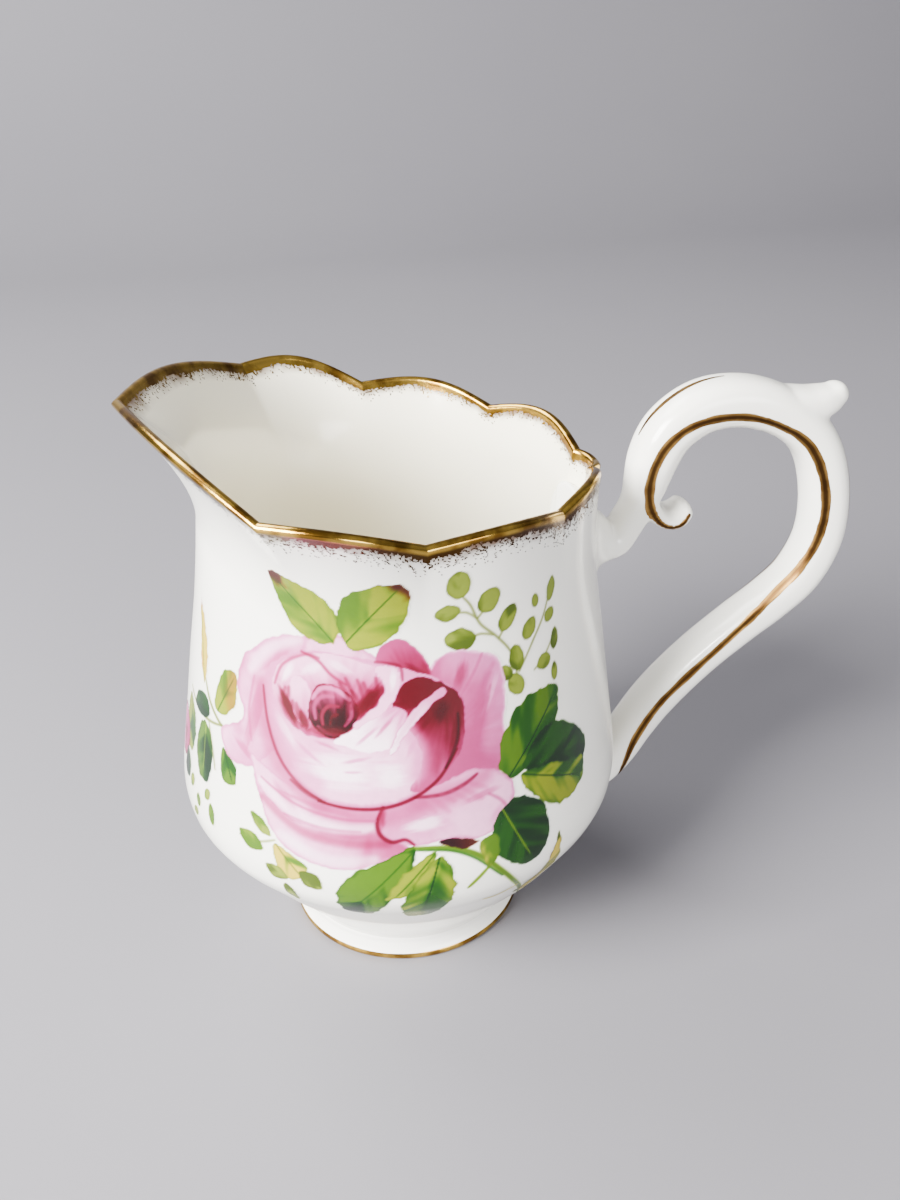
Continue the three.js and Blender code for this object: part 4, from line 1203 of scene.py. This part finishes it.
def paint_main_leaves(c):
    """Leaves round the flower, its stem and its sepals."""
    # pair of leaves above the flower
    c.leaves([
        ([(-19.8, 86.2), (-15.4, 86), (-11.6, 84.4), (-9.2, 80.6), (-9.6, 76), (-11.8, 75), (-16, 76.2),
         (-18.8, 79.8)], (-10.6, 76), (-19.4, 86), "lime", "leaf", "green", 51, "brown"),
        ([(-8.8, 76.6), (-9.2, 80.8), (-7.4, 84.2), (-3.4, 86.2), (0.8, 86.2), (1.8, 82.2), (-0.2, 77.6),
         (-3.6, 75), (-7.2, 74.6)], (-7.6, 76.2), (0.6, 86), "lime", "leaf", "green", 52, "brown"),
    ])
    # leaves to the right
    c.leaves([
        ([(15.4, 52.2), (16.2, 57), (19, 61.2), (22.8, 62.6), (27.6, 61.6), (27.4, 57.4), (24.4, 53),
         (20, 50.4), (17.4, 49.8)], (16.8, 50), (27.2, 61), "green", "leaf", "forest", 53),
        ([(19.6, 50.6), (21.4, 54), (25.4, 56), (30, 53.8), (34.2, 48.8), (33, 45.4), (28, 46.4),
         (23, 48.2)], (19.4, 50), (33, 48.4), "forest", "green", "forest", 54),
        ([(18.8, 49.6), (21, 45.4), (23.6, 42.4), (28, 40.6), (32.4, 42.4), (33, 45.6), (28.6, 47.6),
         (23, 49.4)], (19.4, 49.6), (32, 43), "lime", "green", "forest", 55),
        ([(15.2, 44.6), (18.6, 46), (22.4, 43.4), (23.8, 38.6), (22.4, 34.2), (19, 33), (15.6, 35.4),
         (13.4, 39), (13.8, 42.4)], (15.6, 44.6), (20.4, 33.4), "green", "forest", "lime", 56),
    ])
    # leaves under the flower
    c.leaves([
        ([(1.8, 41.6), (-2.4, 39.4), (-6.8, 37), (-9.6, 33), (-9.4, 27.4), (-6, 26.2), (-2.4, 30.6),
         (0.8, 36)], (2, 41.2), (-9.2, 27.4), "leaf", "forest", "green", 57),
        ([(4.8, 40.2), (0.8, 37.4), (-2, 33.4), (-2.6, 31.6), (0.6, 32.4), (4, 36)], (4.8, 40),
         (-1.6, 31.6), "lime", "leaf", "green", 58),
        ([(5.6, 39.4), (7.6, 35.4), (7, 30), (3.8, 25), (0.2, 24.6), (-0.4, 29), (1.6, 34.6)], (5.4, 39),
         (2, 25), "lime", "green", "forest", 59),
    ])
    # stem with thorns and sepals
    c.stroke([(2, 41.4), (7, 40.6), (11, 38.4), (15.4, 33), (19.6, 25.4), (22.4, 19)], 1.0, "leaf", 0.95,
             soft=0.2)
    c.strokes([
        ([(2, 41), (7, 40.1), (10.6, 37.9), (15, 32.6)], 0.35, "green", 0.8),
        ([(13, 35.6), (10.8, 33.4), (9.6, 32.2)], 0.6, "leaf", 0.8),
        ([(18.4, 27.6), (14.8, 26), (12.6, 26.4)], 0.6, "straw", 0.8),
    ])
    c.petal([(5.6, 42), (8.6, 42), (11.6, 40.6), (9, 40)], "dark", "brown", (6, 42), (11, 40.4), seed=61)
    c.leaf([(11.6, 40.4), (14.2, 41), (14.6, 37.4), (13, 35.4), (12, 37.6)], (12.6, 41), (13.2, 35.6),
           "straw", "leaf", None, 62)
    # long pale blade to the right of the stem
    c.leaf([(19.6, 22.6), (22, 26), (24.2, 31.4), (25.8, 36), (26.4, 31.4), (25.8, 25.4), (23, 20.6)],
           (20.4, 21), (25.8, 36), "straw", "olive", "brown", 63)


def paint_sprig(c):
    """Light sprig of small round leaves, upper right."""
    c.strokes([
        ([(9.6, 82.6), (11.2, 80.6), (13, 77), (16, 74), (18.6, 70.6), (19.6, 66.4)], 0.35, "stem", 0.8),
        ([(8.4, 79.6), (10.6, 79.4), (12.4, 78)], 0.3, "stem", 0.7),
        ([(12.6, 78), (14, 79.6)], 0.3, "stem", 0.7),
        ([(10, 74.4), (13, 75.2), (15.4, 74.4)], 0.3, "stem", 0.7),
        ([(16.4, 73.6), (17.6, 75.4)], 0.3, "stem", 0.7),
        ([(27.2, 78.4), (25.6, 74.4), (22.6, 70.4), (20, 67)], 0.3, "stem", 0.7),
        ([(27.6, 70), (25.4, 67.6), (23, 66.2)], 0.3, "stem", 0.6),
    ])
    spots = [
        (9.2, 84.4, 1.9, 2.4, 95), (14.4, 80.6, 1.9, 2.2, 60), (7.6, 79.8, 2.0, 1.4, 185),
        (9.8, 75.0, 2.6, 1.8, 170), (18.0, 76.6, 1.5, 2.4, 60), (22.4, 73.4, 1.3, 1.9, 60),
        (19.6, 69.4, 1.4, 2.2, 100), (19.2, 65.2, 1.5, 2.0, 120), (17.4, 67.6, 1.1, 1.5, 140),
        (25.2, 66.8, 1.6, 1.3, 190), (27.4, 78.2, 1.0, 2.0, 80), (23.6, 77.6, 0.8, 1.2, 100),
        (27.0, 74.0, 1.1, 1.3, 50), (28.0, 69.6, 0.9, 1.8, 80), (27.4, 64.2, 0.8, 1.6, 85),
    ]
    for k, (u, z, wide, tall, turn) in enumerate(spots):
        round_leaf(c, u, z, wide, tall, turn, "sage", "olive", 70 + k)


def laid_out(middle, bearing, shape):
    """Points of a shape (ahead, across) laid out from a middle along a bearing in degrees."""
    turn = math.radians(bearing)
    ahead = np.array([math.cos(turn), math.sin(turn)])
    across = np.array([-ahead[1], ahead[0]])
    return [tuple(np.array(middle) + ahead * a + across * b) for a, b in shape]


def round_leaf(c, u, z, wide, tall, turn, light, dark, seed):
    """Small rounded leaf about (u, z), its tip toward the turn angle."""
    size = max(wide, tall)
    slim = min(wide, tall) / size
    shape = []
    for k in range(8):
        b = 2 * math.pi * k / 8
        blunt = 0.86 + 0.22 * math.cos(b)
        reach = size * min(slim * 1.2, 1) * math.sin(b) * (1.0 - 0.3 * math.cos(b)) * blunt
        shape.append((size * math.cos(b), reach))
    base, tip, *outline = laid_out((u, z), turn, [(-size, 0), (size, 0), *shape])
    c.leaf(outline, base, tip, light, dark, None, seed)


def paint_side_spray(c):
    """Leaves and a bud on the spout side of the flower."""
    c.strokes([
        ([(-38, 61), (-36, 58), (-32.4, 55.6), (-31, 55.4)], 0.6, "stem", 0.9),
        ([(-45, 56), (-41, 54.4), (-36, 54.4), (-32, 55.4)], 0.5, "stem", 0.85),
        ([(-36, 54), (-34.4, 50), (-33.4, 46.6)], 0.4, "stem", 0.8),
    ])
    c.leaves([
        ([(-38.4, 60), (-40.6, 64), (-41.8, 69), (-42.6, 73.4), (-39.8, 70), (-38, 65.4)], (-38.4, 60),
         (-42.4, 73), "straw", "tan", "leaf", 81, "mid"),
        ([(-34, 57.6), (-34, 61.4), (-31.4, 65.6), (-28.8, 65.4), (-28.6, 61.4), (-30.6, 58)],
         (-33.4, 57.4), (-29, 65.4), "lime", "leaf", "green", 82),
        ([(-42, 54.6), (-40.6, 57.6), (-36.8, 58), (-36, 55.4), (-38.6, 53.8)], (-36.4, 55), (-42, 56),
         "green", "forest", None, 83),
        ([(-37.4, 53.6), (-35, 51.6), (-34.4, 47), (-36, 42.6), (-38.8, 43), (-40.4, 47.4),
         (-39.4, 51.4)], (-37, 53.4), (-37.4, 43), "leaf", "forest", "lime", 84),
        ([(-31.4, 51.8), (-29, 50.6), (-27, 48.4), (-28.4, 46.2), (-31, 46), (-31.8, 49)], (-31, 51.6),
         (-28.6, 46.4), "leaf", "green", "forest", 85),
        ([(-45, 54.6), (-42.4, 52.8), (-41.4, 48), (-43.4, 44.2), (-46.4, 46), (-46.8, 51)], (-44, 54),
         (-44, 44.6), "lime", "green", "forest", 86),
    ])
    c.petal([(-53.4, 47.4), (-49, 50), (-45.8, 48.6), (-44.8, 44.6), (-47, 40.8), (-51, 40.4),
            (-54, 43.4)], "mid", "pale", (-46.5, 44.5), (-52.5, 46.5), rim="deep", rim_width=0.8, seed=87)
    c.shadow(-48.4, 44.6, 2.6, 1.4, 60, "deep", 0.7, 88)
    c.stroke([(-52.4, 46.8), (-49.6, 44.8), (-47.8, 42)], 0.5, "crimson", 0.7, only_on=True)
    c.leaf([(-45.6, 43.6), (-43.4, 42.6), (-43.4, 38.8), (-46.4, 39)], (-44, 43), (-45.6, 38.8), "forest",
           "green", None, 89)
    paint_pale_leaves(c, [(-41.5, 39.6, 1.4, 0.9, 250), (-38.4, 37.6, 1.2, 0.8, 280),
                          (-35.4, 40.6, 1.3, 0.8, 60), (-33.8, 37.6, 0.9, 2.0, 280),
                          (-39.6, 34.6, 1.2, 0.8, 230)])


def paint_pale_leaves(c, spots):
    for k, (u, z, wide, tall, turn) in enumerate(spots):
        round_leaf(c, u, z, wide, tall, turn, "sage", "leaf", 90 + k)


def paint_low_spray(c):
    """Pale small leaves under the flower on the spout side."""
    c.strokes([
        ([(-26.4, 38.2), (-22.6, 38.6), (-19.6, 40)], 0.3, "stem", 0.6),
        ([(-19.6, 37.6), (-16, 35.4), (-12.4, 34)], 0.3, "stem", 0.6),
    ])
    c.leaves([
        ([(-24.4, 43.4), (-21.8, 43), (-20.2, 40.4), (-22.4, 40.6)], (-24.2, 43.2), (-20.4, 40.6), "sage",
         "leaf", None, 101),
        ([(-26.6, 39.2), (-23.4, 39.8), (-21.6, 37.6), (-24.4, 36.6)], (-21.8, 37.8), (-26.4, 39), "sage",
         "leaf", None, 102),
        ([(-19.6, 39.4), (-17.2, 38.6), (-14, 36.6), (-16.4, 33.4), (-18.6, 34.4)], (-19.2, 39.2),
         (-15, 34.6), "straw", "leaf", "olive", 103),
        ([(-21.2, 35), (-18.6, 35.2), (-17.4, 33.4), (-20, 32.8)], (-17.6, 33.6), (-21, 34.8), "sage",
         "olive", None, 104),
        ([(-15.4, 35.6), (-12.6, 35.6), (-12, 33), (-14.4, 32.8)], (-15.2, 35.4), (-12.4, 33), "sage",
         "olive", None, 105),
        ([(-18, 32.2), (-16.6, 30.2), (-17.2, 27.6), (-18.6, 29.6)], (-17.6, 32), (-17.4, 28), "sage",
         "olive", None, 106),
    ])


def paint_back_spray(c):
    """The spray on the far side: a smaller open rose among leaves."""
    c.leaves([
        ([(-14, 66), (-12, 72), (-6, 74.4), (-3.6, 70), (-6.4, 64.4)], (-6, 65), (-11, 74), "lime",
         "leaf", "green", 111, "brown"),
        ([(2, 67), (4.4, 73), (10.4, 75.2), (11.4, 70), (7, 64.6)], (4, 66), (10.6, 74.6), "lime",
         "green", "forest", 112, "brown"),
        ([(14, 52), (18, 57), (24.4, 57), (25.4, 52), (20, 48.6)], (14, 51.6), (25.4, 55), "leaf",
         "forest", "lime", 113),
        ([(-15, 54), (-19, 59.6), (-25, 59.4), (-25.4, 54), (-20.4, 50.4)], (-15, 54), (-25.6, 57),
         "green", "forest", "lime", 114),
        ([(8, 42), (14, 41), (17.6, 35.6), (12.6, 33.4), (8, 36.6)], (8, 42), (16.8, 34.4), "lime",
         "green", "forest", 115),
        ([(-8, 42), (-13.4, 40), (-16.4, 34), (-11, 32.6), (-7, 36.6)], (-7.6, 42), (-15.4, 33.4), "leaf",
         "forest", "lime", 116),
    ])
    for k in range(5):
        shape = [(1.5, -5.5), (9, -9.5), (15.2, -5.2), (16.2, 1), (14, 6.8), (8, 8.8), (1.5, 5.5)]
        start, end, *outline = laid_out((0, 53), 90 + 72 * k, [(3, 0), (14, 0), *shape])
        c.petal(outline, "deep", "pale", start, end, rim="soft", rim_width=0.9, seed=121 + k)
        c.stroke(outline[1:5], 0.35, "mid", 0.5, only_on=True)
    for k in range(4):
        shape = [(0.5, -4), (5, -6.4), (9, -2.8), (8.8, 3), (5, 6), (0.5, 4)]
        start, end, *outline = laid_out((0, 53.5), 50 + 90 * k, [(0, 0), (8, 0), *shape])
        c.petal(outline, "crimson", "white", start, end, rim="pale", rim_width=0.6, seed=131 + k)
    for k, reach in enumerate((4.2, 3.1, 2.0)):
        turn = 1.2 + 2.1 * k
        bearings = np.linspace(turn, turn + 3.4, 6)
        arc = [(reach * math.cos(a), 53.5 + 0.85 * reach * math.sin(a)) for a in bearings]
        c.stroke(arc, 1.1 - 0.2 * k, "soft" if k != 1 else "mid", 0.7, soft=0.5, only_on=True)
    c.shadow(0.2, 53.2, 1.6, 1.3, 20, "dark", 0.85, 139)
    c.stroke([(0, 38), (3, 33), (8, 30)], 0.8, "leaf", 0.9)


def paint_back_bud(c):
    """A closed bud on a stem, for the far side under the spout."""
    c.stroke([(2, 34), (0.6, 42), (-1, 50), (-1, 56)], 0.6, "stem", 0.9)
    c.leaves([
        ([(0, 44), (3, 47), (5.6, 52), (2.4, 51), (-0.4, 47)], (0.2, 44), (5.4, 52), "lime", "leaf",
         "green", 141),
        ([(0.6, 40), (-3, 42), (-5.6, 46.4), (-2.4, 46), (0.6, 43)], (0.6, 40.4), (-5.4, 46.4), "leaf",
         "forest", None, 142),
    ])
    c.petal([(-1.2, 55), (-3.8, 58), (-3.4, 62), (-0.8, 64.4), (2, 61.6), (2, 57.6)], "deep", "pale",
            (-1, 56), (-1, 64), rim="mid", rim_width=0.7, seed=143)
    c.leaf([(-1.2, 53.6), (-3.4, 56), (-2.6, 59), (-1, 57), (1, 59), (1.4, 55.6)], (-1, 54), (-1, 59),
           "leaf", "green", None, 144)
    paint_pale_leaves(c, [(2.6, 38.6, 1.5, 1.0, 30), (-1.6, 36.6, 1.4, 0.9, 200), (3.4, 34.6, 1.2, 0.8, 300)])


def build_print(name, node, centre_deg, u_range, z_range, step, painters):
    """Lays a painted spray on the body: the grid stays only where there is paint."""
    scale = math.radians(1) * MEAN_RADIUS
    us = np.arange(u_range[0], u_range[1] + step, step)
    zs = np.arange(z_range[0], z_range[1] + step, step)
    U, Z = np.meshgrid(us, zs, indexing="ij")
    canvas = Canvas(U.ravel(), Z.ravel())
    for painter in painters:
        painter(canvas)
    angles = np.radians(centre_deg + canvas.u / scale)
    points = outer(angles, canvas.z) + outer_normal(angles, canvas.z) * PRINT_STAND
    quads = grid_faces(len(us), len(zs), False)
    shown = quads[canvas.cover[quads].max(1) > 0.02]
    used, compact = np.unique(shown, return_inverse=True)
    obj = mesh_object(name, points[used], compact.reshape(-1, 4))
    shade(obj, 80)
    soft = canvas.cover[used][:, None]
    tint = np.where(soft > 0.001, canvas.colour[used], np.array(CHINA))
    white = linear(CHINA)
    deep = white * (linear(np.clip(tint, 0, 1)) / white) ** PRINT_DEPTH
    colour_attribute(obj, "paint", deep)
    obj.data.materials.append(PRINT)
    return place(obj, "transfer", node)


def build_prints():
    step = 0.2
    build_print("rose_print_front", "rose_transfer_front", FLOWER_BEARING, (PRINT_SPLIT_U, 36), (17, 88),
                step, [paint_sprig, paint_low_spray, paint_rose, paint_main_leaves])
    build_print("bud_print_front", "bud_transfer_front", FLOWER_BEARING, (-58, PRINT_SPLIT_U), (28, 76),
                step, [paint_side_spray, paint_rose])
    build_print("rose_print_back", "rose_transfer_back", 92, (-28, 28), (28, 78), step, [paint_back_spray])
    build_print("bud_print_back", "bud_transfer_back", 146, (-8, 8), (30, 68), step, [paint_back_bud])


# ---------------------------------------------------------------- stage


def stage_material():
    material, tree, bsdf = new_material("pale_table")
    noise = noise_node(tree, 3.0, 4.0)
    ramp = ramp_node(tree, noise.outputs["Fac"], [(0.3, (0.445, 0.438, 0.460)), (0.7, (0.46, 0.453, 0.473))])
    tree.links.new(ramp.outputs["Color"], bsdf.inputs["Base Color"])
    bsdf.inputs["Roughness"].default_value = 0.6
    return material


def build_stage():
    """Seamless pale sweep: flat under the jug, curving up far behind it."""
    bend_start = 0.55
    bend = 0.35
    rows = [(-1.2, 0.0), (bend_start, 0.0)]
    for k in range(1, 13):
        a = math.pi / 2 * k / 12
        rows.append((bend_start + bend * math.sin(a), bend * (1 - math.cos(a))))
    rows.append((0.9, 2.2))
    points = [(x, y, z) for x in (-2.2, 2.2) for y, z in rows]
    count = len(rows)
    faces = [(i, i + count, i + count + 1, i + 1) for i in range(count - 1)]
    mesh = bpy.data.meshes.new("table_sweep")
    mesh.from_pydata(points, [], faces)
    obj = in_scene("table_sweep", mesh)
    for polygon in mesh.polygons:
        polygon.use_smooth = True
    obj.data.materials.append(stage_material())


def add_light(name, place_at, aim, size, power, colour=(1, 1, 1)):
    data = bpy.data.lights.new(name, "AREA")
    data.shape = "RECTANGLE"
    data.size, data.size_y = size
    data.energy = power
    data.color = colour
    obj = in_scene(name, data)
    obj.location = place_at
    obj.rotation_mode = "QUATERNION"
    direction = Vector(aim) - Vector(place_at)
    obj.rotation_quaternion = direction.to_track_quat("-Z", "Y")


def build_light():
    world = bpy.data.worlds.new("studio_air")
    bpy.context.scene.world = world
    world.use_nodes = True
    tree = world.node_tree
    background = tree.nodes["Background"]
    coords = tree.nodes.new("ShaderNodeTexCoord")
    split = tree.nodes.new("ShaderNodeSeparateXYZ")
    tree.links.new(coords.outputs["Generated"], split.inputs[0])
    height = tree.nodes.new("ShaderNodeMapRange")
    height.inputs["From Min"].default_value = -0.25
    height.inputs["From Max"].default_value = 0.75
    tree.links.new(split.outputs["Z"], height.inputs["Value"])
    ramp = ramp_node(tree, height.outputs["Result"],
                     [(0.0, (0.34, 0.33, 0.34)), (0.35, (0.70, 0.70, 0.73)), (1.0, (0.98, 0.985, 1.0))])
    tree.links.new(ramp.outputs["Color"], background.inputs["Color"])
    background.inputs["Strength"].default_value = 0.44
    aim = (0, 0, 0.05)
    add_light("window_left", (-0.66, -0.34, 0.50), aim, (0.46, 0.46), 56.0, (1.0, 0.99, 0.97))
    add_light("window_top", (-0.45, 0.45, 0.9), aim, (0.6, 0.4), 12.0)
    add_light("room_front", (0.35, -0.95, 0.24), aim, (0.6, 0.4), 10.0, (0.985, 0.99, 1.0))


# Camera: lens in mm, angles in degrees, places in mm.
LENS = 34.5
CAMERA_TURN = -9.98
CAMERA_TILT = 29.19
CAMERA_ROLL = -1.84
CAMERA_SHIFT = 10.35
CAMERA_DISTANCE = 200.8
AIM_Z = 64.10


def build_camera():
    """Camera at the picture's angle: the long side of the picture is the sensor width."""
    data = bpy.data.cameras.new("view")
    data.lens = LENS
    data.sensor_width = 36.0
    data.clip_start = 0.01
    data.clip_end = 20
    obj = in_scene("view", data)
    turn = math.radians(CAMERA_TURN)
    tilt = math.radians(CAMERA_TILT)
    roll = math.radians(CAMERA_ROLL)
    back = Vector((math.sin(turn) * math.cos(tilt), -math.cos(turn) * math.cos(tilt), math.sin(tilt)))
    right0 = Vector((math.cos(turn), math.sin(turn), 0))
    up0 = back.cross(right0)
    right = right0 * math.cos(roll) + up0 * math.sin(roll)
    up = -right0 * math.sin(roll) + up0 * math.cos(roll)
    spot = right * CAMERA_SHIFT + Vector((0, 0, AIM_Z)) + back * CAMERA_DISTANCE + Vector((AXIS_X, 0, 0))
    matrix = Matrix((right, up, back)).transposed().to_4x4()
    matrix.translation = spot * MM
    obj.matrix_world = matrix
    bpy.context.scene.camera = obj


# ---------------------------------------------------------------- assembly

build_body()
build_foot()
handle = build_handle()
build_rim_gilding()
build_foot_gilding()
handle_tree = tree_of(handle)
build_flank_line("handle_line_front", -1, handle_tree, "handle_gold_line_front")
build_flank_line("handle_line_back", 1, handle_tree, "handle_gold_line_back")
build_back_stroke("handle_stroke_crest", 7.5, 9.6, 0.6, 0.2, handle_tree, "handle_gold_stroke_crest")
build_back_stroke("handle_stroke_rear", 12.2, 14.0, 0.5, -3.3, handle_tree, "handle_gold_stroke_rear")
build_prints()
build_stage()
build_light()
build_camera()
